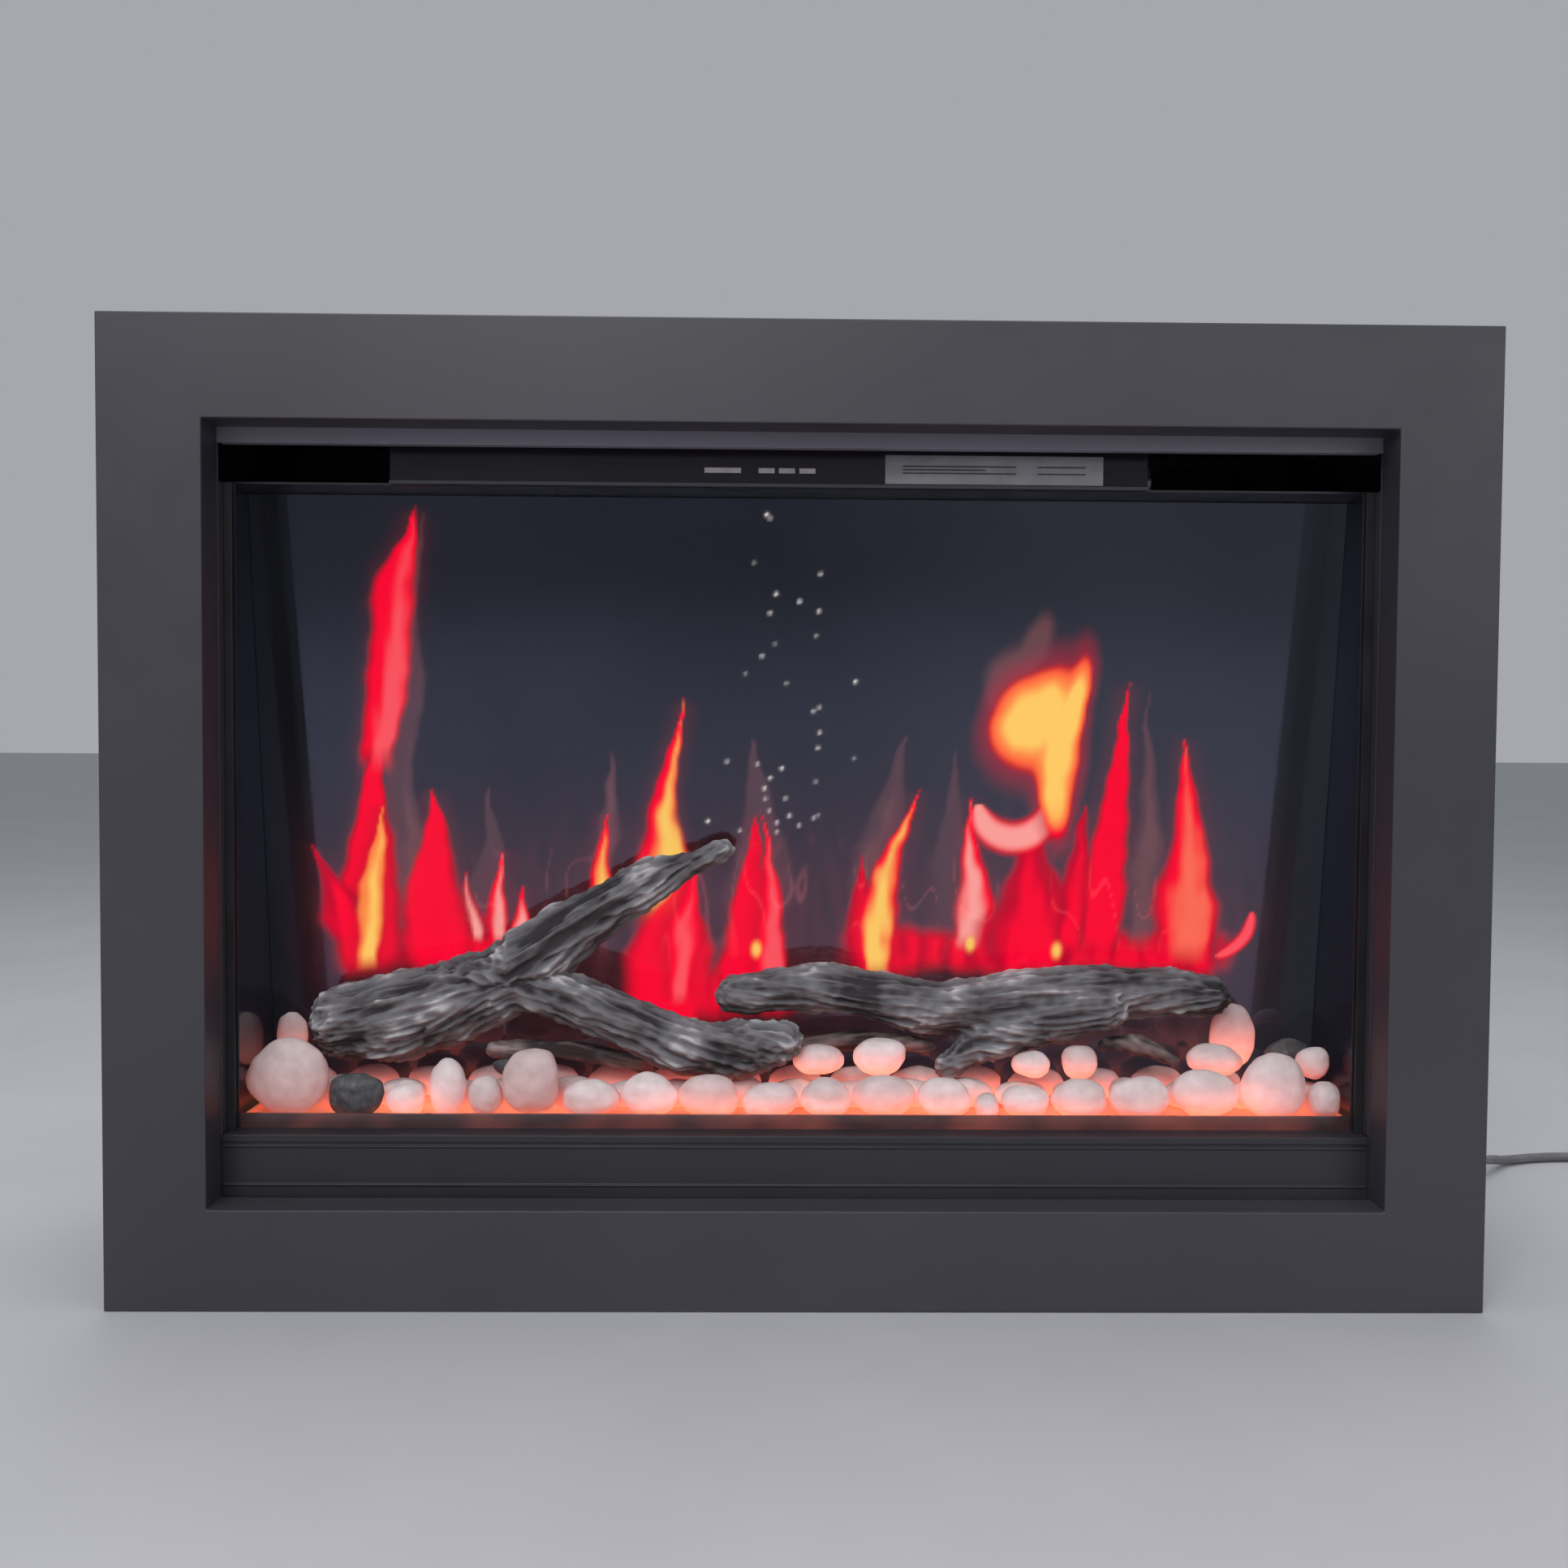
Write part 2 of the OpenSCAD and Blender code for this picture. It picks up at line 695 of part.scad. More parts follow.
module blower_scroll() {
    ends = [[duct_x[0] - 1.2, duct_x[0]], [duct_x[1], duct_x[1] + 1.2]];
    color("#9fa2a6") union() {
        difference() {
            rod_x(duct_x, fan_d, fan_z, impeller_r + fan_gap);
            rod_x([duct_x[0] - 1, duct_x[1] + 1], fan_d, fan_z, impeller_r + fan_gap - 1.2);
            slab([duct_x[0] - 1, duct_x[1] + 1], [fan_d - 40, fan_d - 6], [fan_z - 40, fan_z + 40]);
            slab([duct_x[0] - 1, duct_x[1] + 1], [fan_d - 40, fan_d + 14], [fan_z, fan_z + 40]);
        }
        slab(duct_x, [154.4, fan_d - 6], [fan_z - impeller_r - fan_gap, fan_z - impeller_r - fan_gap + 1.2]);
        for (x = ends) difference() {
            slab(x, [154.4, 216], [duct_z[0], duct_z[1]]);
            rod_x([x[0] - 1, x[1] + 1], fan_d, fan_z, shaft_r + 0.06);
        }
    }
}

module blower_motor() {
    x = duct_x[1] + 1.3;
    color("#b5b7ba") difference() {
        union() {
            rod_x([x, x + 10], fan_d, fan_z, 12);
            rod_x([x + 10, x + 34], fan_d, fan_z, 25);
            slab([x + 14, x + 30], [fan_d - 22, fan_d + 22], [fan_z - 28, fan_z + 28]);
        }
        rod_x([x - 1, x + 24], fan_d, fan_z, shaft_r + 0.08);
    }
}

module blower_impeller() {
    x = [duct_x[0] + 4, duct_x[1] - 4];
    discs = 6;
    pitch = (x[1] - x[0] - 1.6) / (discs - 1);
    color("#3a3c40") union() {
        rod_x([duct_x[0] - 4, duct_x[1] + 20], fan_d, fan_z, shaft_r);
        for (i = [0:discs - 1]) rod_x([x[0] + pitch * i, x[0] + pitch * i + 1.6], fan_d, fan_z, impeller_r);
        translate([x[0], yd(fan_d), fan_z]) rotate([0, 90, 0]) for (b = [0:impeller_blades - 1])
            rotate(360 / impeller_blades * b) translate([impeller_r - 7, -0.5, 0]) rotate([0, 0, 24])
                cube([6, 1, x[1] - x[0]]);
    }
}

// ---------------------------------------------------------------- electronics

module control_board() {
    color("#2f6b45") {
        difference() {
            slab([150, 320], [182, 242], [34, 35.6]);
            for (x = [155, 315], d = [187, 237]) translate([x, yd(d), 33]) cylinder(r = 1.6, h = 4);
        }
        for (x = [155, 315], d = [187, 237]) translate([x, yd(d), pan_z]) cylinder(r = 3.2, h = 34 - pan_z);
        for (x = [170, 196]) slab([x, x + 20], [190, 206], [35.6, 52]);
        slab([232, 262], [188, 212], [35.6, 60]);
        for (x = [180, 200, 220]) translate([x, yd(226), 35.6]) cylinder(r = 6, h = 16);
        slab([278, 302], [194, 232], [35.6, 45]);
    }
}

module led_driver() {
    color("#d5d5d2") union() {
        slab([-140, -20], [186, 232], [pan_z, 54]);
        slab([-150, -10], [196, 222], [pan_z, pan_z + 2]);
    }
}

module power_switch() {
    hole_y = 8.9;
    color("#141416") difference() {
        union() {
            slab([case_x, case_x + 2], [switch_d - 13, switch_d + 13], [switch_z - 18, switch_z + 18]);
            slab([case_x - 24, case_x], [switch_d - 10.8, switch_d + 10.8],
                [switch_z - 14.8, switch_z + 14.8]);
            for (z = [-7, 5]) slab([case_x - 32, case_x - 24], [switch_d - 1, switch_d],
                [switch_z + z, switch_z + z + 2]);
        }
        slab([case_x - 12, case_x + 3], [switch_d - hole_y, switch_d + hole_y],
            [switch_z - 13.8, switch_z + 13.8]);
        rod_y(case_x - 1, [yd(switch_d - 10), yd(switch_d + 10)], switch_z, 1.6);
    }
}

module switch_rocker() {
    color("#b3261e") translate([case_x - 1, yd(switch_d), switch_z]) rotate([0, rocker_tilt, 0]) union() {
        rotate([90, 0, 0]) linear_extrude(height = 17, center = true)
            polygon([[-6, -10.5], [3.4, -12.6], [2.2, 0], [3.4, 12.6], [-6, 10.5]]);
        rotate([90, 0, 0]) cylinder(r = 1.5, h = 19.6, center = true);
    }
}

module reset_switch() {
    color("#1d1d20") difference() {
        span([reset_x - 11, reset_x + 11], [rear_in - 18, rear_in], [reset_z - 9, reset_z + 9]);
        rod_y(reset_x, [rear_in - 12, rear_in + 1], reset_z, reset_r + 0.2);
    }
}

module reset_button() {
    color("#c23a2a") union() {
        rod_y(reset_x, [rear_in - 8, back_y - 0.6], reset_z, reset_r);
        rod_y(reset_x, [back_y - 0.6, back_y], reset_z, reset_r - 0.6);
    }
}

module strain_relief() {
    color("#161618") translate([0, yd(relief_d), relief_z]) rotate([0, 90, 0]) union() {
        translate([0, 0, case_x - 8]) cylinder(r = 7.8, h = 8);
        translate([0, 0, case_x]) cylinder(r = 12, h = 3);
        translate([0, 0, case_x + 3]) cylinder(r1 = 8, r2 = 5.4, h = relief_end - case_x - 3);
    }
}

module supply_lines() {
    runs = [
        [[412, relief_d, 80, 3.6], [408, relief_d, 80, 3.6], [402, relief_d + 2, 78, 3.6],
            [392, 222, 64, 3.6], [372, 232, 46, 3.6],
            [345, 232, 41, 3.6], [326, 222, 40, 3.6]],
        [[324, 246, 42, 3], [350, 248, 48, 3], [385, 248, 62, 3], [400, 247, 110, 3], [402, 246, 240, 3],
            [402, 246, 420, 3], [398, 240, 540, 3], [380, 226, 590, 3], [340, 196, 598, 3],
            [290, 190, 592, 3]]
    ];
    color("#1a1a1c") for (run = runs)
        tube([for (p = smooth_path(run, 3)) [p[0], yd(p[1]), p[2], p[3]]], 8, [0, 1, 0.02]);
}

// ---------------------------------------------------------------- power cord

module power_cord() {
    color("#6b6b70") tube([for (p = smooth_path(cord_route, 2)) [p[0], p[1], p[2], cord_r]], 10,
        [0, 0.02, 1]);
}

module cord_coil() {
    inner = coil_turn - 2 * cord_d - cord_r;
    outer = coil_turn + cord_r;
    color("#6b6b70") translate([coil_x, coil_y, 0]) rotate_extrude() polygon([
        [inner, 1], [inner + 1, 0], [outer - 1, 0], [outer, 1], [outer, 7], [outer - 4, 15.5],
        [inner + 4, 15.5], [inner, 7]
    ]);
}

module cord_tail() {
    color("#6b6b70") tube([for (p = smooth_path(tail_route, 2)) [p[0], p[1], p[2], cord_r]], 10,
        [0, 0.02, 1]);
}

module cord_tie() {
    color("#1b1b1d") translate([coil_x - coil_turn + cord_d, coil_y, 0]) difference() {
        translate([-14, -4, 0]) cube([28, 8, 17]);
        translate([-12.6, -5, -1]) cube([25.2, 10, 16.7]);
    }
}

module cord_plug() {
    color("#5c5c61") translate([plug_x, plug_y, plug_z]) rotate([0, 0, -90]) union() {
        hull() {
            rotate([0, 90, 0]) cylinder(r = 5.5, h = 1, $fn = 32);
            translate([14, -11, -8]) cube([4, 22, 16]);
        }
        translate([18, -13, -12.5]) cube([20, 26, 25]);
        for (side = [-1, 1]) translate([38, side * 6.35 - 0.75, -3.2]) cube([17, 1.5, 6.4]);
        translate([38, 0, 8]) rotate([0, 90, 0]) cylinder(r = 2.4, h = 20);
    }
}

trim_frame();
frame_brackets();
base_pan();
top_cover();
left_side_panel();
right_side_panel();
rear_panel();
screws();
rubber_feet();
fascia_top_rail();
fascia_bottom_rail();
fascia_side_rails();
ember_ledge();
media_fence();
glass_channels();
front_glass();
outlet_deflector();
rating_label();
indicator_lamps();
firebox_ceiling();
left_liner();
right_liner();
flame_screen();
screen_rails();
ember_tray();
tray_supports();
ember_led_board();
ember_leds();
white_pebbles();
dark_stones();
log_left();
log_right();
twigs();
flame_plate();
flame_led_board();
flame_leds();
flame_motor();
motor_bracket();
shaft_bracket();
shaft_bush();
flicker_shaft();
flicker_vanes();
heater_duct();
heating_element();
blower_scroll();
blower_motor();
blower_impeller();
control_board();
led_driver();
power_switch();
switch_rocker();
reset_switch();
reset_button();
strain_relief();
supply_lines();
power_cord();
cord_coil();
cord_tail();
cord_tie();
cord_plug();
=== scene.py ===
"""Electric fireplace insert: camera, cord, materials, firebox, lights and floor."""

import json
import math
import random

import bmesh
import bpy
import numpy as np
from mathutils import Matrix, Vector, noise


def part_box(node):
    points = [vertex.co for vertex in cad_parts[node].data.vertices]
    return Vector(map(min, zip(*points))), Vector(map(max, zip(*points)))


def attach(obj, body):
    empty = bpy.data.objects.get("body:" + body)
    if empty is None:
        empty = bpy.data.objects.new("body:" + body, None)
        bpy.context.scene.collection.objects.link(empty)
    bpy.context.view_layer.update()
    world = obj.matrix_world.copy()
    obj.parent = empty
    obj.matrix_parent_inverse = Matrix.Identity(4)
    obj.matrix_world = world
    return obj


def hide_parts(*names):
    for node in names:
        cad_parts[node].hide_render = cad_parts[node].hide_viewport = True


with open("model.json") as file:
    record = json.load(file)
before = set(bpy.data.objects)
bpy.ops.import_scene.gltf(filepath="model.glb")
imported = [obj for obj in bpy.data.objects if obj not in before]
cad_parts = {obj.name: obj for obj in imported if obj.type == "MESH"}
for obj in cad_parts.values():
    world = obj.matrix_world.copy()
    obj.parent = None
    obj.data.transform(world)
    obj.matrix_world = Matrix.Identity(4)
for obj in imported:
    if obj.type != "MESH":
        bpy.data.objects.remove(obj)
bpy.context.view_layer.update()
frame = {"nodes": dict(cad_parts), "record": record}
MM = 0.001
SAME_PLACE = 0.01 * MM
RECORD = frame["record"]
SLOT_OF = {part["node"]: part["material_slot"] for part in RECORD["subparts"]}
SLOTS = {entry["slot"]: entry for entry in RECORD["materials"]}

# ---------------------------------------------------------------- camera

EYE = Vector((-0.0232, -1.0109, 0.3804))
PITCH_DOWN = 1.82
YAW_RIGHT = 0.75
ROLL = 0.385
LENS_MM = 30.75
SENSOR_MM = 36


def add_camera():
    """The camera stands in front of the insert, a little left of its middle."""
    data = bpy.data.cameras.new("camera")
    data.sensor_width = SENSOR_MM
    data.lens = LENS_MM
    camera = bpy.data.objects.new("camera", data)
    bpy.context.scene.collection.objects.link(camera)
    turn = Matrix.Rotation(math.radians(-YAW_RIGHT), 4, "Z")
    tilt = Matrix.Rotation(math.radians(90 - PITCH_DOWN), 4, "X")
    roll = Matrix.Rotation(math.radians(ROLL), 4, "Z")
    camera.matrix_world = Matrix.Translation(EYE) @ turn @ tilt @ roll
    bpy.context.scene.camera = camera


add_camera()

# ---------------------------------------------------------------- small helpers


def smooth_path(points, steps):
    """Points on a smooth curve through a path, with that many steps between its points."""
    path = [Vector(p) for p in points]
    out = []
    for i in range(len(path) - 1):
        a, b = path[max(i - 1, 0)], path[i]
        c, d = path[i + 1], path[min(i + 2, len(path) - 1)]
        for k in range(steps):
            t = k / steps
            cubic = 3 * b - a - 3 * c + d
            square = 2 * a - 5 * b + 4 * c - d
            out.append(0.5 * (2 * b + (c - a) * t + square * t * t + cubic * t ** 3))
    return out + [path[-1]]


def new_object(name, mesh):
    """Links a mesh as a piece of the object that rides on the housing."""
    piece = bpy.data.objects.new(name, mesh)
    bpy.context.scene.collection.objects.link(piece)
    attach(piece, "housing")
    return piece


def mesh_from(name, build):
    """A mesh that build(bm) has filled."""
    bm = bmesh.new()
    build(bm)
    mesh = bpy.data.meshes.new(name)
    bm.to_mesh(mesh)
    bm.free()
    return mesh


def smooth_shade(mesh):
    """Shades every face of a mesh smoothly."""
    mesh.polygons.foreach_set("use_smooth", [True] * len(mesh.polygons))


def add_box(bm, low, high):
    """Adds a box from its two corners."""
    size = Vector(high) - Vector(low)
    middle = (Vector(high) + Vector(low)) / 2
    bmesh.ops.create_cube(bm, size=1, matrix=Matrix.Translation(middle) @ Matrix.Diagonal((*size, 1)))


def put_material(piece, mat):
    """Gives a piece one material."""
    piece.data.materials.clear()
    piece.data.materials.append(mat)


class Shader:
    """One Principled material, with short calls for the nodes that drive it."""

    def __init__(self, name, **sockets):
        self.mat = bpy.data.materials.new(name)
        self.mat.use_nodes = True
        self.tree = self.mat.node_tree
        self.bsdf = self.tree.nodes["Principled BSDF"]
        for key, value in sockets.items():
            self.bsdf.inputs[key.replace("_", " ")].default_value = value
        self.place = self.add("TexCoord").outputs["Object"]

    def add(self, kind, **inputs):
        """A new node with some inputs set, or linked where a socket is given."""
        made = self.tree.nodes.new("ShaderNode" + kind)
        for key, value in inputs.items():
            self.feed(made.inputs[key.replace("_", " ")], value)
        return made

    def feed(self, socket, value):
        """Links a socket to another, or sets it to a value."""
        if isinstance(value, bpy.types.NodeSocket):
            self.tree.links.new(value, socket)
        else:
            socket.default_value = value

    def set(self, **inputs):
        """Feeds inputs of the Principled node."""
        for key, value in inputs.items():
            self.feed(self.bsdf.inputs[key.replace("_", " ")], value)

    def noise(self, scale, detail=3.0, warp=0.0):
        """Noise over the surface, its scale in cycles a metre."""
        return self.add(
            "TexNoise", Vector=self.place, Scale=scale, Detail=detail, Distortion=warp
        ).outputs["Fac"]

    def attribute(self, name, output="Fac"):
        """A value stored on the mesh."""
        made = self.add("Attribute")
        made.attribute_name = name
        return made.outputs[output]

    def span(self, value, low, high, start=0.3, end=0.7):
        """Maps a value from start..end to low..high."""
        return self.add(
            "MapRange", Value=value, From_Min=start, From_Max=end, To_Min=low, To_Max=high
        ).outputs["Result"]

    def ramp(self, fac, *stops):
        """A colour ramp with (position, colour) stops."""
        made = self.add("ValToRGB", Fac=fac)
        points = made.color_ramp.elements
        while len(points) < len(stops):
            points.new(0.5)
        for point, (position, colour) in zip(points, stops):
            point.position = position
            point.color = (*colour, 1)
        return made.outputs["Color"]

    def blend(self, factor, a, b):
        """A colour between two others."""
        made = self.add("Mix")
        made.data_type = "RGBA"
        sockets = [i for i in made.inputs if i.type == "RGBA"]
        self.feed(made.inputs["Factor"], factor)
        self.feed(sockets[0], a)
        self.feed(sockets[1], b)
        return next(o for o in made.outputs if o.type == "RGBA")

    def bump(self, height, depth_mm, strength=1.0):
        """A bump of that depth from a height value."""
        made = self.add("Bump", Height=height, Strength=strength, Distance=depth_mm * MM)
        self.set(Normal=made.outputs["Normal"])


def mixed(colour, factor):
    """A colour made darker or lighter by a factor."""
    return tuple(min(1.0, c * factor) for c in colour[:3])


# ---------------------------------------------------------------- power cord

CORD_R = 4 * MM
EXIT = (0.456, 0.075, 0.080)
COIL = Vector((0.775, 0.150, 0))
LEAD = [
    EXIT, (0.470, 0.075, 0.080), (0.490, 0.075, 0.080), (0.510, 0.080, 0.075),
    (0.530, 0.090, 0.065), (0.550, 0.105, 0.050), (0.570, 0.120, 0.035), (0.590, 0.140, 0.025),
    (0.610, 0.155, 0.015), (0.630, 0.170, 0.010), (0.650, 0.185, 0.005), (0.680, 0.195, 0.004),
    (0.710, 0.198, 0.004), (0.745, 0.198, 0.004),
]
TURNS = [(0.048, 0.004), (0.040, 0.004), (0.032, 0.004), (0.036, 0.0115), (0.044, 0.0115)]
TURN_STEPS = 36
TAIL = [
    (0.820, 0.135, 0.012), (0.820, 0.120, 0.011), (0.820, 0.105, 0.010), (0.820, 0.090, 0.011),
    (0.820, 0.080, 0.012), (0.820, 0.070, 0.0125),
]


def coil_points():
    """The coil's turns, each a circle that eases into the next over its last third."""
    points = []
    for i in range(len(TURNS) * TURN_STEPS + TURN_STEPS // 4 + 1):
        turn, step = divmod(i, TURN_STEPS)
        here = TURNS[min(turn, len(TURNS) - 1)]
        after = TURNS[min(turn + 1, len(TURNS) - 1)]
        t = min(max(step / TURN_STEPS * 3 - 2, 0), 1)
        ease = t * t * (3 - 2 * t)
        radius = here[0] + (after[0] - here[0]) * ease
        height = here[1] + (after[1] - here[1]) * ease
        angle = math.pi / 2 - 2 * math.pi * i / TURN_STEPS
        points.append(COIL + Vector((radius * math.cos(angle), radius * math.sin(angle), height)))
    return points


def cord_material():
    """Grey vinyl with a faint sheen and handling marks."""
    s = Shader("cord_vinyl", Roughness=0.42)
    tone = s.noise(60, 4)
    s.set(Base_Color=s.ramp(tone, (0.3, (0.105, 0.103, 0.112)), (0.7, (0.16, 0.157, 0.168))))
    s.set(Roughness=s.span(s.noise(240), 0.36, 0.52))
    s.bump(s.noise(900, 2), 0.05)
    return s.mat


def add_cord():
    """The mains cord from the strain relief to its plug, with the spare length coiled."""
    turns = coil_points()
    lead = smooth_path([*LEAD, turns[0]], 4)
    tail = smooth_path([turns[-1], *TAIL], 4)
    points = lead[:-1] + turns[:-1] + tail
    curve = bpy.data.curves.new("mains_cord", "CURVE")
    curve.dimensions = "3D"
    curve.bevel_depth = CORD_R
    curve.bevel_resolution = 3
    curve.use_fill_caps = True
    spline = curve.splines.new("POLY")
    spline.points.add(len(points) - 1)
    for target, point in zip(spline.points, points):
        target.co = (*point, 1)
    cord = bpy.data.objects.new("mains_cord", curve)
    bpy.context.scene.collection.objects.link(cord)
    cord.data.materials.append(cord_material())
    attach(cord, "housing")
    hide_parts("power_cord", "cord_coil", "cord_tail")


add_cord()

# ---------------------------------------------------------------- finishes of the CAD nodes

# Per class: roughness range, metallic, tone spread, noise scale, bump depth in mm, bump scale
FINISH = {
    "painted_metal": ((0.38, 0.5), 0.0, 0.12, 14, 0.05, 900),
    "brushed_steel": ((0.25, 0.42), 1.0, 0.12, 40, 0.04, 500),
    "chrome": ((0.12, 0.25), 1.0, 0.08, 60, 0.02, 400),
    "aluminium": ((0.22, 0.4), 1.0, 0.12, 50, 0.04, 500),
    "rubber": ((0.6, 0.8), 0.0, 0.2, 80, 0.08, 700),
    "matte_plastic": ((0.5, 0.65), 0.0, 0.15, 60, 0.06, 1100),
    "gloss_plastic": ((0.12, 0.25), 0.0, 0.1, 40, 0.02, 500),
    "mirror": ((0.04, 0.1), 1.0, 0.08, 30, 0.02, 200),
    "stone": ((0.7, 0.9), 0.0, 0.3, 50, 0.4, 260),
}


def slot_material(slot):
    """The general procedural finish for one of the record's material slots."""
    entry = SLOTS[slot]
    rough, metallic, spread, scale, depth, fine = FINISH[entry["class"]]
    colour = entry["base_color"]
    s = Shader(slot, Metallic=metallic)
    tone = s.noise(scale, 5)
    dark, light = mixed(colour, 1 - spread), mixed(colour, 1 + spread)
    s.set(Base_Color=s.ramp(tone, (0.3, dark), (0.7, light)))
    s.set(Roughness=s.span(s.noise(scale * 5), *rough))
    s.bump(s.noise(fine, 2), depth)
    return s.mat


def surround_material(name, dark, light):
    """Dark satin powder coat: a fine orange-peel texture with slow changes of tone."""
    s = Shader(name, Metallic=0.0)
    s.set(Base_Color=s.ramp(s.noise(3.5, 4), (0.35, dark), (0.65, light)))
    s.set(Roughness=s.span(s.noise(30, 4), 0.4, 0.5))
    s.bump(s.noise(1400, 2), 0.03, 0.6)
    return s.mat


def glass_material():
    """Clear tempered glass: nearly invisible, with the faintest film of dust."""
    s = Shader("clear_glass", Base_Color=(0.2, 0.22, 0.26, 1), Roughness=0.05)
    s.set(Alpha=s.span(s.noise(9, 6, warp=0.4), 0.005, 0.014, 0.35, 0.8))
    return s.mat


def liner_material(name, dark, light, gloss):
    """Glossy black enamel that reflects the fire."""
    s = Shader(name, Specular_IOR_Level=0.42)
    s.set(Base_Color=s.ramp(s.noise(6, 4), (0.35, dark), (0.65, light)))
    s.set(Roughness=s.span(s.noise(24, 5, warp=0.3), gloss, gloss * 1.6))
    s.bump(s.noise(30, 2), 0.06, 0.4)
    return s.mat


def glow_material(name, colour, strength, spots):
    """A surface lit from behind, in patches."""
    s = Shader(name, Roughness=0.4, Emission_Strength=strength, Base_Color=(*colour, 1))
    hot = mixed(colour, 1.5)
    cool = mixed(colour, 0.35)
    s.set(Emission_Color=s.ramp(s.noise(spots, 2), (0.35, cool), (0.65, hot)))
    s.set(Roughness=s.span(s.noise(90), 0.3, 0.5))
    return s.mat


def fence_material():
    """Smoked clear strip with the glow of the ember bed in its edge."""
    s = Shader("smoked_strip", Roughness=0.2, Emission_Strength=0.35)
    s.set(Base_Color=s.ramp(s.noise(20, 3), (0.3, (0.03, 0.018, 0.02)), (0.7, (0.05, 0.03, 0.032))))
    s.set(Emission_Color=s.ramp(s.noise(14, 2), (0.4, (0.03, 0.008, 0.008)), (0.7, (0.5, 0.1, 0.07))))
    return s.mat


# Where the painted highlight along the deflector's foot starts to fade and where it ends, above the foot
PAINTED_HIGHLIGHT_BAND = (2.2 * MM, 2.8 * MM)


def deflector_material():
    """Gloss black bar with a painted highlight: a lighter band along its foot."""
    s = Shader("deflector_gloss", Specular_IOR_Level=0.25)
    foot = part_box("outlet_deflector")[0].z
    height = s.add("SeparateXYZ", Vector=s.place).outputs["Z"]
    # Painted highlight: the bar's bottom few millimetres painted a lighter grey
    painted_highlight = s.span(height, 1.0, 0.0, foot + PAINTED_HIGHLIGHT_BAND[0], foot + PAINTED_HIGHLIGHT_BAND[1])
    black = s.ramp(s.noise(10, 3), (0.3, (0.012, 0.010, 0.014)), (0.7, (0.018, 0.015, 0.02)))
    s.set(Base_Color=s.blend(painted_highlight, black, (0.06, 0.057, 0.067, 1)))
    s.set(Roughness=s.span(s.noise(30, 4), 0.12, 0.22))
    return s.mat


def label_material():
    """Satin silver foil."""
    s = Shader("silver_foil", Metallic=0.4)
    s.set(Base_Color=s.ramp(s.noise(60, 3), (0.3, (0.22, 0.215, 0.23)), (0.7, (0.28, 0.275, 0.29))))
    s.set(Roughness=s.span(s.noise(200), 0.38, 0.5))
    return s.mat


SPECIAL = {
    "surround": lambda: surround_material("powder_coat", (0.034, 0.0325, 0.041), (0.042, 0.040, 0.050)),
    "fascia": lambda: surround_material("powder_coat_dark", (0.016, 0.0145, 0.02), (0.024, 0.022, 0.029)),
    "front_glass": glass_material,
    # top_rail: the fascia powder coat made many times lighter, as painted light on a rail that the frame's
    # lip shades
    "top_rail": lambda: surround_material("powder_coat_rail_painted_light", (0.17, 0.165, 0.2), (0.2, 0.19, 0.23)),
    "liner": lambda: liner_material("liner_enamel", (0.012, 0.013, 0.024), (0.018, 0.02, 0.036), 0.1),
    "firebox_black": lambda: liner_material(
        "firebox_enamel", (0.012, 0.011, 0.017), (0.02, 0.018, 0.027), 0.25),
    "deflector": deflector_material,
    "label": label_material,
    "gasket": lambda: liner_material("gasket_black", (0.008, 0.008, 0.01), (0.012, 0.012, 0.015), 0.4),
    "tray": lambda: glow_material("ember_tray_glow", (0.9, 0.24, 0.13), 0.55, 9),
    "ember_led": lambda: glow_material("ember_lamp", (1.0, 0.45, 0.2), 6.0, 200),
    "flame_led": lambda: glow_material("flame_lamp", (1.0, 0.12, 0.06), 6.0, 200),
    "lamp": lambda: glow_material("indicator_glow", (0.3, 0.27, 0.29), 0.12, 120),
    "fence": fence_material,
}

# How far each node's edges are rounded, in mm
BEVELS = {
    "trim_frame": 0.9, "fascia_top_rail": 0.5, "fascia_bottom_rail": 0.5, "fascia_side_rails": 0.5,
    "ember_ledge": 0.5, "media_fence": 0.4, "outlet_deflector": 0.4, "top_cover": 0.5,
    "left_side_panel": 0.5, "right_side_panel": 0.5, "rear_panel": 0.5, "base_pan": 0.5,
    "frame_brackets": 0.4, "glass_channels": 0.3, "front_glass": 0.3, "power_switch": 0.5,
    "switch_rocker": 0.4, "cord_plug": 0.8, "strain_relief": 0.4, "rubber_feet": 0.5,
    "cord_tie": 0.3, "led_driver": 0.8,
}
SHARP_ANGLE = 40


def soften(piece, width_mm):
    """Rounds a CAD node's sharp edges a little, so that they catch the light."""
    weld = piece.modifiers.new("weld", "WELD")
    weld.merge_threshold = SAME_PLACE
    bevel = piece.modifiers.new("bevel", "BEVEL")
    bevel.width = width_mm * MM
    bevel.segments = 2
    bevel.limit_method = "ANGLE"
    bevel.angle_limit = math.radians(SHARP_ANGLE)


def finish_cad_nodes():
    """Gives every CAD node its slot's material and softens the edges that show."""
    made = {}
    for name, piece in frame["nodes"].items():
        # The top rail takes that lighter copy: painted light that makes up for the lip's shade
        look = "top_rail" if name == "fascia_top_rail" else SLOT_OF[name]
        if look not in made:
            made[look] = SPECIAL[look]() if look in SPECIAL else slot_material(look)
        put_material(piece, made[look])
        if name in BEVELS:
            soften(piece, BEVELS[name])


finish_cad_nodes()

# ---------------------------------------------------------------- flame screen

